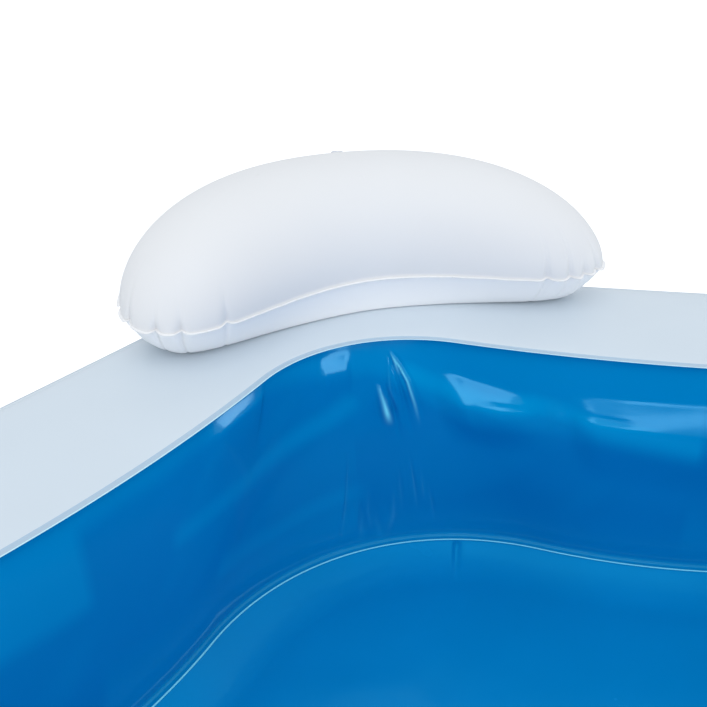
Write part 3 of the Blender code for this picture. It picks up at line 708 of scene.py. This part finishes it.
def finishes():
    """The pool's materials, made once."""
    colours = bpy.context.scene.pool_colours
    if not bpy.data.materials.get("pale_top"):
        film_material("pale_top", colours.top, 0.38, 0.50, 0.02, wave=0.0008, wave_scale=5.0)
        film_material("weld_band", colours.weld, 0.30, 0.45, 0.03)
        film_material("cut_edge", colours.edge, 0.20, 0.30, 0.02)
        film_material("seam_edge", colours.seam_edge, 0.20, 0.30, 0.02, BLUE_GLOSS)
        wall_material("blue_wall", colours.wall, colours.wall_painted_light, colours.wall_painted_glint)
        wall_material("blue_weld", colours.wall_weld, colours.wall_weld, colours.wall_painted_glint)
        film_material("blue_floor", colours.floor, 0.14, 0.30, 0.05, FLOOR_GLOSS, wave=0.001, wave_scale=8.0)
        film_material("white_headrest", colours.headrest, 0.50, 0.60, 0.015, wave=0.0006, wave_scale=12.0)
        # Painted light: the lower panels get the headrest's white made 18% lighter, to lift the shade under
        # the headrests
        film_material("headrest_base", tinted(colours.headrest, 0.18)[:3], 0.50, 0.60, 0.015)
        film_material("headrest_lip", tinted(colours.headrest, 0.13)[:3], 0.25, 0.35, 0.01)
        film_material("clear_web", (0.70, 0.76, 0.82), 0.25, 0.35, 0.02)
        film_material("valve_plastic", colours.plastic, 0.30, 0.42, 0.01, grain=0.00002)
        film_material("flap_rubber", colours.rubber, 0.50, 0.62, 0.03, grain=0.00004)
    return bpy.data.materials


# Sheets of the pool

def top_rows(crown):
    inner, outer = moved_out(INNER_EDGE, TOP_LIP), moved_out(OUTER_EDGE, -TOP_LIP)
    # slot 2 is the painted highlight along the cut edge
    rows = [same_row(INNER_EDGE, TOP_LEVEL, slot=2)]
    for lip in (EDGE_BEAD, TOP_LIP / 2, TOP_LIP - EDGE_BEAD / 2):
        rows.append(same_row(moved_out(INNER_EDGE, lip), TOP_LEVEL, slot=1))
    for share in eased(TOP_ROWS, 2.0):
        slot = 1 if share * (WALL_WIDTH - 2 * TOP_LIP) < WELD_BAND - TOP_LIP else 0
        height = TOP_LEVEL + crown * swell(share) ** CROWN_POWER
        rows.append(Row(inner, outer, share, height, share, slot))
    rows += [same_row(moved_out(OUTER_EDGE, -TOP_LIP / 2), TOP_LEVEL), same_row(OUTER_EDGE, TOP_LEVEL)]
    return rows


def swollen_rows(upper, lower, bulge, foot, shares):
    """Rows from below the top sheet down to a foot, swollen outwards between the two."""
    rows = []
    for share in shares:
        outline = moved_out(between(upper, lower, share), bulge * swell(share))
        rows.append(same_row(outline, UNDER_TOP_LEVEL + (foot - UNDER_TOP_LEVEL) * share, share))
    return rows


def inner_rows(bulge):
    upper, lower = moved_out(INNER_EDGE, TOP_LIP), moved_out(FLOOR_EDGE, FLOOR_LIP)
    rows = [
        same_row(INNER_EDGE, UNDER_TOP_LEVEL, slot=1),
        same_row(moved_out(INNER_EDGE, TOP_LIP / 2), UNDER_TOP_LEVEL, slot=1),
    ]
    fine, rest = INNER_FINE_SHARE, 1 - INNER_FINE_SHARE
    shares = [fine * step / INNER_FINE_ROWS for step in range(INNER_FINE_ROWS)]
    shares += [fine + rest * step / INNER_COARSE_ROWS for step in range(INNER_COARSE_ROWS + 1)]
    rows += swollen_rows(upper, lower, -bulge, SEAM_LEVEL, shares)
    rows[-1] = rows[-1]._replace(slot=1)
    rows += [
        same_row(moved_out(FLOOR_EDGE, FLOOR_LIP / 2), SEAM_LEVEL, slot=1),
        # slot 2 is the painted highlight along the floor seam
        same_row(moved_out(FLOOR_EDGE, SEAM_BEAD), SEAM_LEVEL, slot=2),
        same_row(FLOOR_EDGE, SEAM_LEVEL),
    ]
    return rows


def outer_rows(bulge):
    root = moved_out(OUTER_EDGE, -TOP_LIP)
    foot = GROUND_LEVEL + PITCH
    wall = swollen_rows(root, root, bulge, foot, eased(OUTER_ROWS, 1.5))
    return [same_row(OUTER_EDGE, UNDER_TOP_LEVEL), *wall, same_row(OUTER_EDGE, foot)]


def fall_rows(first, second, lip, count):
    """Rows from a lip down to the ground, which they meet without a bend."""
    shares = [step / count for step in range(count + 1)]
    return [Row(first, second, s, GROUND_LEVEL + (lip - GROUND_LEVEL) * (1 - s) ** 2, s, 0) for s in shares]


def base_rows():
    lip = SEAM_LEVEL - 2 * PITCH
    root = moved_out(FLOOR_EDGE, FLOOR_LIP)
    foot = moved_out(root, BASE_RISE_WIDTH)
    rows = [same_row(FLOOR_EDGE, lip), *fall_rows(root, foot, lip, BASE_RISE_ROWS)]
    for share in (0.35, 0.7):
        rows.append(Row(foot, OUTER_EDGE, share, GROUND_LEVEL, share, 0))
    rows.append(same_row(OUTER_EDGE, GROUND_LEVEL))
    return rows


def floor_rows():
    lip = SEAM_LEVEL - PITCH
    flat = moved_out(FLOOR_EDGE, -FLOOR_FALL_WIDTH)
    rows = [same_row(moved_out(FLOOR_EDGE, FLOOR_LIP), lip)]
    rows += fall_rows(FLOOR_EDGE, flat, lip, FLOOR_FALL_ROWS)
    for step in range(1, FLOOR_FLAT_ROWS + 1):
        rows.append(same_row(scaled(flat, 1 - step / FLOOR_FLAT_ROWS), GROUND_LEVEL, 1.0))
    return rows


def no_push(stop, row, point, away):
    return Vector()


def top_push(stop, row, point, away):
    room = swell(row.share)
    near_weld = math.exp(-min(row.share, 1 - row.share) * WALL_WIDTH / TOP_GATHER_REACH)
    gather = ripple(point, TOP_GATHER) * near_weld * min(1.0, 8 * room)
    return Vector((0, 0, room * (ripple(point, TOP_WAVE) - TOP_SETTLE) + gather))


def inner_push(creases):
    """Ripples, soft folds and creases of the inner wall."""
    def push(stop, row, point, away):
        room = min(1.0, 9 * row.share, 9 * (1 - row.share))
        drop = UNDER_TOP_LEVEL - row.height
        corner, along = nearest_corner(stop)
        soft = ripple(point, WALL_WAVE) + ripple(point, WALL_DIMPLE)
        near_weld = 0.4 * math.exp(-drop / 0.02) + math.exp(-(row.height - SEAM_LEVEL) / 0.04)
        gather = ripple(point, WALL_GATHER) * near_weld
        way = stop.way - stop.side % 2 * side_length()
        folds = fold_push(SEEN_FOLDS, way, drop) * min(1.0, 9 * (1 - row.share))
        return away * (room * (soft + gather + crease_push_and_glint(creases[corner], along, drop)[0]) - folds)

    return push


def outer_push(stop, row, point, away):
    room = min(1.0, 7 * row.share, 7 * (1 - row.share))
    near_weld = sum(math.exp(-share / OUTER_GATHER_SHARE) for share in (row.share, 1 - row.share))
    corner = math.exp(-((nearest_corner(stop)[1] / 0.25) ** 2))
    even, more = OUTER_GATHER_HEIGHTS
    gather = (even + more * corner) * ripple(point, OUTER_GATHER)
    return away * (room * (ripple(point, OUTER_WAVE) + gather * near_weld - OUTER_SETTLE))


# A small pucker of the floor below the middle of the photographed corner's seam, as seen from above
FLOOR_PUCKER = ((0.1915, 1.1400), (0.1760, 1.1120), (0.1480, 1.0600))
FLOOR_PUCKER_HEIGHT = 0.009
FLOOR_PUCKER_WIDTH = 0.0060


def floor_push(height):
    """Loose ripples, ridges and the seam's puckers of the floor, which lies flat round the drain."""
    drain = drain_place().translation

    def push(stop, row, point, away):
        clear = (point - drain).length / DRAIN_FLANGE_RADIUS - 1.5 if row.share == 1 else 1.0
        low = max(0.0, ripple(point, FLOOR_WAVE) + 0.1) * 0.7
        ridge = max(0.0, 1 - 5 * abs(ripple(point, FLOOR_RIDGE)))
        ridge *= max(0.0, ripple(point, FLOOR_RIDGE_ZONE) + 0.2)
        seam = max(0.0, ripple(point, FLOOR_GATHER)) * row.share * (1.2 - row.share)
        off, way = on_line(FLOOR_PUCKER, point.x, point.y)
        pinch = FLOOR_PUCKER_HEIGHT * math.exp(-((off / FLOOR_PUCKER_WIDTH) ** 2)) * (1 - way)
        loose = min(1.0, max(0.0, clear)) * height * row.share * (low + ridge + seam)
        return Vector((0, 0, loose + pinch * min(1.0, 8 * row.share)))

    return push


# Painted light on the inner wall, a lighter colour standing for light that comes through it, left and right of
# a corner:
# how far below the top weld it reaches at the corner and away from it, and the drop from which it comes back
# above the floor
GLOW_REACHES = ((0.050, 0.030), (0.060, 0.150))
GLOW_CORNER = 0.02
GLOW_CHANGE = 0.16
GLOW_SOFT = 0.045
GLOW_WAVE = Ripple(0.012, 0.16, 4.0)
GLOW_SHARE = 0.5
FOOT_GLOW_DROPS = (0.25, 0.30)
FOOT_GLOW_SOFT = 0.12
FOOT_GLOW_SHARE = 0.4
BAND_WAVE = Ripple(2.5, 0.16, 7.0)
BAND_SHARE = 0.11


def inner_painted_light(creases):
    """Painted light on the inner wall, in zones and soft bands, and the painted highlight along its creases.
    """
    def marks(stop, row, point):
        corner, along = nearest_corner(stop)
        drop = UNDER_TOP_LEVEL - row.height
        near, far = GLOW_REACHES[along > 0]
        reach = near + (far - near) * ease((abs(along) - GLOW_CORNER) / GLOW_CHANGE)
        reach += ripple(point, GLOW_WAVE)
        # painted light: lighter below the top weld, above the floor and in soft slanted bands
        zone = GLOW_SHARE * (1 - ease((drop - reach + 0.02) / GLOW_SOFT))
        foot = FOOT_GLOW_SHARE * ease((drop - FOOT_GLOW_DROPS[along > 0]) / FOOT_GLOW_SOFT)
        slanted = Vector((point.x * 0.5, point.y * 0.5, point.z * 1.6 - stop.way))
        band = BAND_SHARE * ease(ripple(slanted, BAND_WAVE))
        for points, half, share in SEEN_BANDS if corner == 0 else ():
            band = max(band, share * (1 - ease(on_line(points, along, drop)[0] / half)))
        return min(1.0, max(zone, band, foot)), crease_push_and_glint(creases[corner], along, drop)[1]

    return marks


class POOL_OT_top_film(bpy.types.Operator):
    """Adds the pale top of the walls, with its weld band along the inner edge"""

    bl_idname = "pool.top_film"
    bl_label = "Top film"

    def execute(self, context):
        made = finishes()
        skins = [made["pale_top"], made["weld_band"], made["cut_edge"]]
        rows = top_rows(context.scene.pool_shape.top_crown)
        stops = stations(corner_steps=28, side_steps=40)
        top = wrapped_film("top_film", rows, stops, top_push, skins)
        stand_for(top, "top_sheet", "pool")
        return {"FINISHED"}


class POOL_OT_inner_film(bpy.types.Operator):
    """Adds the blue inner wall, with its bulge, its welds and the creases in its corners"""

    bl_idname = "pool.inner_film"
    bl_label = "Inner wall film"

    def execute(self, context):
        shape = context.scene.pool_shape
        made = finishes()
        skins = [made["blue_wall"], made["blue_weld"], made["seam_edge"]]
        creases = corner_creases(shape.crease_seed)
        rows, stops = inner_rows(shape.inner_bulge), stations(corner_steps=20, side_steps=36, first_steps=120)
        wall = wrapped_film("inner_film", rows, stops, inner_push(creases), skins, inner_painted_light(creases))
        stand_for(wall, "inner_wall", "pool")
        return {"FINISHED"}


class POOL_OT_outer_film(bpy.types.Operator):
    """Adds the blue outer wall and the base under the walls"""

    bl_idname = "pool.outer_film"
    bl_label = "Outer wall and base"

    def execute(self, context):
        skins = [finishes()["blue_wall"]]
        rows = outer_rows(context.scene.pool_shape.outer_bulge)
        wall = wrapped_film("outer_film", rows, stations(corner_steps=30, side_steps=40), outer_push, skins)
        cut_hole(wall, wall_valve_place(), VALVE_NECK_RADIUS + WELD_GAP)
        stand_for(wall, "outer_wall", "pool")
        stops = stations(corner_steps=16, side_steps=20)
        base = wrapped_film("base_film", base_rows(), stops, no_push, skins)
        stand_for(base, "base_sheet", "pool")
        return {"FINISHED"}


class POOL_OT_floor_film(bpy.types.Operator):
    """Adds the floor, which lies on the ground in loose ripples and puckers at its seam"""

    bl_idname = "pool.floor_film"
    bl_label = "Floor film"

    def execute(self, context):
        push = floor_push(context.scene.pool_shape.floor_ripple)
        stops = stations(corner_steps=20, side_steps=28, first_steps=90)
        floor = wrapped_film("floor_film", floor_rows(), stops, push, [finishes()["blue_floor"]])
        cut_hole(floor, drain_place(), DRAIN_BORE)
        stand_for(floor, "floor_sheet", "pool")
        return {"FINISHED"}


def web_film(name, section, turn, finish):
    """A web of film whose outline is a section of the chamber, with two air holes."""
    bm = bmesh.new()
    corners = [bm.verts.new(point) for point in section]
    for pair in zip(corners, corners[1:] + corners[:1]):
        bm.edges.new(pair)
    heights = [point.z for point in section]
    spans = [point.xy.length for point in section]
    upright = Matrix.Rotation(math.pi / 2, 4, "Y")
    for share in AIR_HOLE_HEIGHT_SHARES:
        height = min(heights) + (max(heights) - min(heights)) * share
        place = turn @ Matrix.Translation((0, (min(spans) + max(spans)) / 2, height)) @ upright
        bmesh.ops.create_circle(bm, segments=HOLE_STEPS, radius=AIR_HOLE_RADIUS, matrix=place)
    bmesh.ops.triangle_fill(bm, edges=bm.edges, use_beauty=True, normal=turn @ Vector((1, 0, 0)))
    return film_piece(name, bm, [finish])


class POOL_OT_webs(bpy.types.Operator):
    """Adds a clear web inside each corner that follows the films round it, with two air holes"""

    bl_idname = "pool.webs"
    bl_label = "Corner webs"

    def execute(self, context):
        shape = context.scene.pool_shape
        push = inner_push(corner_creases(shape.crease_seed))
        off = FILM / 2 + WEB_CLEARANCE
        starts = [stop for stop in stations(1, 1) if stop.way == 0]
        for number, stop in enumerate(starts):
            section = film_section(inner_rows(shape.inner_bulge), push, stop, off, 0)[::-1]
            section += film_section(top_rows(shape.top_crown), top_push, stop, 0, -off)
            section += film_section(outer_rows(shape.outer_bulge), outer_push, stop, -off, 0)
            section += film_section(base_rows(), no_push, stop, 0, off)[::-1]
            turn = Matrix.Rotation(-2 * HALF_SIDE_ANGLE * number, 4, "Z")
            web = web_film(f"web_film_{number + 1}", section, turn, finishes()["clear_web"])
            stand_for(web, f"corner_web_{number + 1}", "pool")
        return {"FINISHED"}


# Headrests, beans laid round two corners

BEAN_HALF_LENGTH = 0.5187
BEAN_HALF_WIDTH = 0.190
BEAN_WIDTH_POWERS = (2.37, 0.45)
BEAN_BEND_RADIUS = 0.3953
BEAN_CREST_POWERS = (2.85, 0.565)
BEAN_SPINE_SHARE = 0.531
BEAN_REACH = 1.4936
BEAN_SHIFT = 0.0928
BEAN_TURN = math.radians(-4.27)
BEAN_STEPS = 260
FOOT_SHARE = 0.075
END_FOOT_SHARE = 0.32
FALL_POWERS = (1.25, 2.2)
FALL_SHARE = 0.7
UPPER_STEPS = 44
LOWER_STEPS = 20
HEADRESTS = 2

BeanStop = namedtuple("BeanStop", "edge spine run")

# Runs along the seam, from the left tip on, of the puckers that the photograph shows at the two tips
RIGHT_PUCKERS = (1.496, 1.563, 1.598, 1.630, 1.675)
LEFT_PUCKERS = (2.302, 2.383, 0.031, 0.096)
OUTER_PUCKERS = 17
PUCKER_HALF_WIDTH = 0.019

# How far a pucker runs up each panel, how it narrows and sags there, and how the seam lifts and waves
UPPER_HOLD = 0.30
UPPER_HOLD_POWER = 1.6
LOWER_HOLD = 0.12
PUCKER_NARROWING = 4
UPPER_SAG = 1.1
LOWER_SAG = -0.6
SEAM_LIFT = 0.35
SEAM_WAVE = 0.0010
SEAM_WAVE_RATE = 30


def taper(along, powers):
    """Falls from 1 at the bean's middle to 0 at its tips, rounded by the two powers."""
    return max(0.0, 1 - abs(along / BEAN_HALF_LENGTH) ** powers[0]) ** powers[1]


def bent(place, level):
    """A place on the straight bean once it is bent round its hollow side."""
    turn = place.x / BEAN_BEND_RADIUS
    reach = BEAN_BEND_RADIUS + place.y
    return Vector((reach * math.sin(turn), reach * math.cos(turn) - BEAN_BEND_RADIUS, level))


def bean_stops():
    """Stops clockwise round the seam from the left tip, on the straight bean, with their run once bent."""
    stops, run, last = [], 0.0, None
    for side in (1, -1):
        for step in range(BEAN_STEPS):
            turn = side * math.pi * (step / BEAN_STEPS - 0.5)
            along = BEAN_HALF_LENGTH * math.sin(turn)
            edge = Vector((along, side * BEAN_HALF_WIDTH * taper(along, BEAN_WIDTH_POWERS)))
            spine = Vector((BEAN_SPINE_SHARE * BEAN_HALF_LENGTH * turn * 2 / math.pi, 0))
            place = bent(edge, 0)
            run += (place - last).length if last else 0.0
            stops.append(BeanStop(edge, spine, run))
            last = place
    return stops


def pucker_runs(seed):
    """The runs of the puckers along the seam, in order: listed at the tips and uneven on the outer side."""
    draw = random.Random(seed)
    first, last = LEFT_PUCKERS[-1], RIGHT_PUCKERS[0]
    runs = list(LEFT_PUCKERS + RIGHT_PUCKERS)
    for step in range(1, OUTER_PUCKERS + 1):
        runs.append(first + (last - first) * (step + draw.uniform(-0.25, 0.25)) / (OUTER_PUCKERS + 1))
    return sorted(runs)


def gathers(stops, seed):
    """How far each stop is pinched, from 0 between two puckers to 1 at one, and that pucker's reach."""
    runs = pucker_runs(seed)
    whole = stops[-1].run + (bent(stops[0].edge, 0) - bent(stops[-1].edge, 0)).length
    made = []
    for stop in stops:
        before = max((r for r in runs if r <= stop.run), default=runs[-1] - whole)
        after = min((r for r in runs if r > stop.run), default=runs[0] + whole)
        off = min(stop.run - before, after - stop.run)
        half = min((after - before) / 2, PUCKER_HALF_WIDTH)
        nearest = before if stop.run - before < after - stop.run else after
        reach = 0.8 + 0.5 * noise.noise(Vector((nearest % whole * 37.0, 0.5, 0)))
        made.append((max(0.0, 1 - off / half) ** 2, reach))
    return made


def headrest_place(number):
    turn = Matrix.Rotation(2 * math.pi * (number - 1) / HEADRESTS, 4, "Z")
    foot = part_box(f"headrest_bottom_{number}")[0].z
    return turn @ Matrix.Translation((BEAN_SHIFT, BEAN_REACH, foot)) @ Matrix.Rotation(BEAN_TURN, 4, "Z")


def bean_panel(name, shares, shaped, number, upper, materials):
    """One panel of a headrest. Shares run from 0 to 1 over its lip and from 1 to 2 to the spine.

    The function shaped gives, for a stop and a share past the lip, the way to the spine and the height.
    """
    shape = bpy.context.scene.headrest_shape
    stops = bean_stops()
    pinches = gathers(stops, number)
    columns, last = len(stops), len(shares) - 1
    way = 1 if upper else -1
    bm = bmesh.new()
    bmesh.ops.create_grid(bm, x_segments=columns, y_segments=last, size=0.5)
    for face in bm.faces:
        face.material_index = 1 if (face.calc_center_median().y + 0.5) * last < 2 else 0
    for vertex in bm.verts:
        column = round((vertex.co.x + 0.5) * columns) % columns
        share = shares[round((vertex.co.y + 0.5) * last)]
        stop, (pinch, reach) = stops[column], pinches[column]
        width = (stop.spine - stop.edge).length
        inward = (stop.spine - stop.edge) / width
        lip = shape.lip / width
        panel, level = shaped(stop, share - 1) if share > 1 else (0.0, 0.0)
        across = share * lip if share <= 1 else lip + panel * (1 - lip)
        rise = math.sqrt(1 - (1 - min(1.0, panel)) ** 2)
        up = (rise / (UPPER_HOLD * reach)) ** UPPER_HOLD_POWER if upper else panel / LOWER_HOLD
        draw = shape.pucker * pinch ** (1.0 + PUCKER_NARROWING * rise) * math.exp(-up)
        wave = SEAM_WAVE * noise.noise(Vector((stop.run * SEAM_WAVE_RATE, number, 0)))
        sag = draw * min(1.0, 8 * panel) * (UPPER_SAG if upper else LOWER_SAG)
        level += shape.seam_height + way * PITCH / 2 + wave * max(0.0, 1 - 6 * panel) - sag + SEAM_LIFT * draw
        vertex.co = bent(stop.edge.lerp(stop.spine, across) + inward * draw, level)
    bmesh.ops.remove_doubles(bm, verts=bm.verts, dist=SAME_POINT * 10)
    bmesh.ops.recalc_face_normals(bm, faces=bm.faces)
    bmesh.ops.transform(bm, matrix=headrest_place(number), verts=bm.verts)
    return film_piece(name, bm, materials)


class POOL_OT_headrests(bpy.types.Operator):
    """Adds the two inflated headrests, each an upper and a lower panel with a puckered seam"""

    bl_idname = "pool.headrests"
    bl_label = "Headrests"

    def execute(self, context):
        shape = context.scene.headrest_shape
        made = finishes()
        skins = [made["white_headrest"], made["headrest_lip"]]
        painted_light_skins = [made["headrest_base"], made["headrest_lip"]]

        def crest(stop, panel):
            place = stop.edge.lerp(stop.spine, panel)
            across = min(1.0, abs(place.y) / (BEAN_HALF_WIDTH * taper(place.x, BEAN_WIDTH_POWERS)))
            return panel, shape.crown * taper(place.x, BEAN_CREST_POWERS) * math.sqrt(1 - across**2)

        def belly(stop, panel):
            end = abs(stop.edge.x) / BEAN_HALF_LENGTH
            foot = FOOT_SHARE + (END_FOOT_SHARE - FOOT_SHARE) * end**2
            share = min(1.0, panel / FALL_SHARE)
            power = FALL_POWERS[0] + (FALL_POWERS[1] - FALL_POWERS[0]) * end**2
            fall = (shape.seam_height - FILM / 2 - PITCH / 2) * ((1 - share) ** power - 1)
            return foot * share + (1 - foot) * max(0.0, panel - FALL_SHARE) / (1 - FALL_SHARE), fall

        lip = [0.0, 0.5, 1.0]
        upper = lip + [1 + (step / UPPER_STEPS) ** 1.9 for step in range(1, UPPER_STEPS + 1)]
        lower = lip + [1 + FALL_SHARE * (step / LOWER_STEPS) ** 1.3 for step in range(1, LOWER_STEPS + 1)]
        lower += [1.85, 2.0]
        for number in range(1, HEADRESTS + 1):
            top = bean_panel(f"pillow_top_{number}", upper, crest, number, True, skins)
            cut_hole(top, stem_place(number), STEM_RADIUS + WELD_GAP)
            bottom = bean_panel(f"pillow_bottom_{number}", lower, belly, number, False, painted_light_skins)
            for side, panel in (("top", top), ("bottom", bottom)):
                stand_for(panel, f"headrest_{side}_{number}", "pool")
        return {"FINISHED"}


# Valves and drain

def set_at(place, x, y, z):
    """The frame at a place with these three axes."""
    return Matrix.Translation(place) @ Matrix((x, y, z)).transposed().to_4x4()


def joint_named(name):
    return next(joint for joint in frame["joints"] if joint["name"] == name)


def wall_valve_place():
    """The wall valve's own frame, with Z out of the wall and Y up."""
    joint = joint_named("plug_unscrews")
    out, up = Vector(joint["axis"]), Vector((0, 0, 1))
    return set_at(joint["pos_m"], up.cross(out), up, out)


def drain_place():
    low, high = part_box("drain_seat")
    return Matrix.Translation(((low.x + high.x) / 2, (low.y + high.y) / 2, 0))


def stem_place(number):
    """The small valve's own frame on a headrest, with Z out of the panel."""
    out = Vector(joint_named(f"stopper_{number}_pulls_out")["axis"])
    low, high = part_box(f"headrest_valve_{number}")
    side = Vector((0, 0, 1)).cross(out).normalized()
    return set_at((low + high) / 2, side, out.cross(side), out)


class POOL_OT_valves(bpy.types.Operator):
    """Gives the valves and the drain their moulded plastic and rubber"""

    bl_idname = "pool.valves"
    bl_label = "Valves and drain"

    def execute(self, context):
        made = finishes()
        for name, cad in frame["nodes"].items():
            if "valve" in name or "stopper" in name or "drain" in name:
                cad.data.materials.clear()
                cad.data.materials.append(made["flap_rubber" if "flap" in name else "valve_plastic"])
        return {"FINISHED"}


# Studio

EYE = (-0.58459, -0.18996, 1.2828)
VIEW_YAW = math.radians(22.631)
VIEW_PITCH = math.radians(28.696)
VIEW_ROLL = math.radians(0.235)
FOCAL_PIXELS = 988.1
FRAME_PIXELS = 707
SENSOR_WIDTH = 36.0
NEAREST_SEEN = 0.05

AMBIENT_COLOUR = (0.88, 0.94, 1.0)
KEY_COLOUR = (1.0, 0.99, 0.97)
KEY_PLACE = (-0.7, 0.2, 4.2)
KEY_AIM = (0.1, 0.9, 0.3)
KEY_SIZE = (3.4, 2.6)
FILL_WAY = (0.22, 1.0, -0.22)
FILL_SPREAD = math.radians(50)
STUDIO_FLOOR_COLOUR = (0.9, 0.9, 0.9, 1)
STUDIO_FLOOR_REACH = 30.0

# Low lamps that stand round the pool just above its far rim: middle, size and shape
STRIP_AIM = (0.1, 1.0, 0.3)
STRIP_LAMPS = (
    ((-2.7, -1.9, 1.0), (1.6, 0.6), "RECTANGLE"),
    ((-1.0, -3.3, 1.0), (1.6, 0.6), "RECTANGLE"),
    ((2.1, -2.8, 0.82), (1.5, 0.7), "ELLIPSE"),
    ((3.2, 0.5, 0.82), (1.0, 0.7), "ELLIPSE"),
)


def soft_lamp(name, place, aim, size, shape, radiance, colour=WHITE):
    """A flat lamp of a given brightness, aimed at a point."""
    lamp = bpy.data.lights.new(name, "AREA")
    lamp.shape = shape
    lamp.size, lamp.size_y = size
    lamp.energy = radiance * math.pi * size[0] * size[1]
    lamp.color = colour
    made = linked(name, lamp)
    made.visible_camera = False
    made.location = place
    made.rotation_euler = (Vector(aim) - Vector(place)).to_track_quat("-Z", "Y").to_euler()
    return made


class POOL_OT_studio(bpy.types.Operator):
    """Adds the pale floor, the even light, the soft lamps and the camera"""

    bl_idname = "pool.studio"
    bl_label = "Studio"

    def execute(self, context):
        settings = context.scene.pool_studio
        self.add_world(settings)
        self.add_floor(settings)
        soft_lamp("key_lamp", KEY_PLACE, KEY_AIM, KEY_SIZE, "RECTANGLE", settings.key, KEY_COLOUR)
        for number, (place, size, shape) in enumerate(STRIP_LAMPS):
            lamp = soft_lamp(f"strip_lamp_{number + 1}", place, STRIP_AIM, size, shape, settings.strip)
            lamp.visible_diffuse = False
        self.add_fill(settings)
        self.add_camera(context)
        return {"FINISHED"}

    def add_world(self, settings):
        """White to the camera and in reflections, and plain even light on the object."""
        scene = bpy.context.scene
        scene.world = bpy.data.worlds.new("studio")
        scene.world.use_nodes = True
        tree = scene.world.node_tree
        tree.nodes.clear()
        light = {"Color": (*AMBIENT_COLOUR, 1), "Strength": settings.ambient}
        even = node(tree, "ShaderNodeBackground", light, 0)
        shown = node(tree, "ShaderNodeBackground", {"Color": (*WHITE, 1), "Strength": 1.0}, 0)
        path = node(tree, "ShaderNodeLightPath").outputs
        direct = reckoned(tree, "MAXIMUM", path["Is Camera Ray"], path["Is Glossy Ray"])
        share = reckoned(tree, "MAXIMUM", direct, path["Is Transmission Ray"])
        mix = node(tree, "ShaderNodeMixShader", {"Fac": share, 1: even, 2: shown}, 0)
        node(tree, "ShaderNodeOutputWorld", {"Surface": mix})

    def add_fill(self, settings):
        """Soft light from low and far away, which no film reflects."""
        lamp = bpy.data.lights.new("fill_lamp", "SUN")
        lamp.energy, lamp.angle = settings.fill, FILL_SPREAD
        made = linked("fill_lamp", lamp)
        made.visible_glossy = False
        made.rotation_euler = Vector(FILL_WAY).to_track_quat("-Z", "Y").to_euler()

    def add_floor(self, settings):
        """A wide pale floor that keeps the pool's shadow."""
        bm = bmesh.new()
        under = Matrix.Translation((0, 0, -FILM))
        bmesh.ops.create_grid(bm, x_segments=1, y_segments=1, size=STUDIO_FLOOR_REACH, matrix=under)
        material, tree, shader = blank_material("studio_floor")
        seen = node(tree, "ShaderNodeLightPath", out="Is Camera Ray")
        feed(tree, shader, {
            "Base Color": STUDIO_FLOOR_COLOUR,
            "Roughness": 0.9,
            "Emission Color": (*WHITE, 1),
            "Emission Strength": reckoned(tree, "MULTIPLY", seen, settings.floor_glow),
        })
        piece("studio_floor", bm, [material])

    def add_camera(self, context):
        """The photograph's eye, fitted to the pool's edges."""
        flat = Vector((math.sin(VIEW_YAW), math.cos(VIEW_YAW), 0)) * math.cos(VIEW_PITCH)
        forward = flat - Vector((0, 0, math.sin(VIEW_PITCH)))
        level = Vector((math.cos(VIEW_YAW), -math.sin(VIEW_YAW), 0))
        above = level.cross(forward)
        right = level * math.cos(VIEW_ROLL) + above * math.sin(VIEW_ROLL)
        up = above * math.cos(VIEW_ROLL) - level * math.sin(VIEW_ROLL)
        lens = bpy.data.cameras.new("photo_eye")
        lens.sensor_width = SENSOR_WIDTH
        lens.lens = SENSOR_WIDTH * FOCAL_PIXELS / FRAME_PIXELS
        lens.clip_start = NEAREST_SEEN
        eye = linked("photo_eye", lens)
        eye.matrix_world = set_at(EYE, right, up, -forward)
        context.scene.camera = eye


class POOL_PT_panel(bpy.types.Panel):
    """Lists the pool's pieces and settings"""

    bl_label = "Paddling pool"
    bl_idname = "POOL_PT_panel"
    bl_space_type = "VIEW_3D"
    bl_region_type = "UI"
    bl_category = "Pool"

    def draw(self, context):
        for operator in OPERATORS:
            self.layout.operator(operator.bl_idname)
        for settings in ("pool_shape", "headrest_shape", "pool_colours", "pool_studio"):
            box = self.layout.box()
            group_of = getattr(context.scene, settings)
            for key in group_of.bl_rna.properties.keys():
                if key not in ("rna_type", "name"):
                    box.prop(group_of, key)


OPERATORS = (
    POOL_OT_top_film,
    POOL_OT_inner_film,
    POOL_OT_outer_film,
    POOL_OT_floor_film,
    POOL_OT_webs,
    POOL_OT_headrests,
    POOL_OT_valves,
    POOL_OT_studio,
)
SETTINGS = {
    "pool_shape": PoolShape,
    "headrest_shape": HeadrestShape,
    "pool_colours": VinylColours,
    "pool_studio": StudioSettings,
}


def register():
    for settings in SETTINGS.values():
        bpy.utils.register_class(settings)
    for operator in OPERATORS:
        bpy.utils.register_class(operator)
    bpy.utils.register_class(POOL_PT_panel)
    for name, settings in SETTINGS.items():
        setattr(bpy.types.Scene, name, PointerProperty(type=settings))


def unregister():
    for name in SETTINGS:
        delattr(bpy.types.Scene, name)
    for made in (POOL_PT_panel, *reversed(OPERATORS), *reversed(SETTINGS.values())):
        bpy.utils.unregister_class(made)


def main():
    register()
    bpy.context.scene.view_settings.view_transform = "Standard"
    for operator in OPERATORS:
        kind, name = operator.bl_idname.split(".")
        getattr(getattr(bpy.ops, kind), name)()


if __name__ == "__main__":
    main()
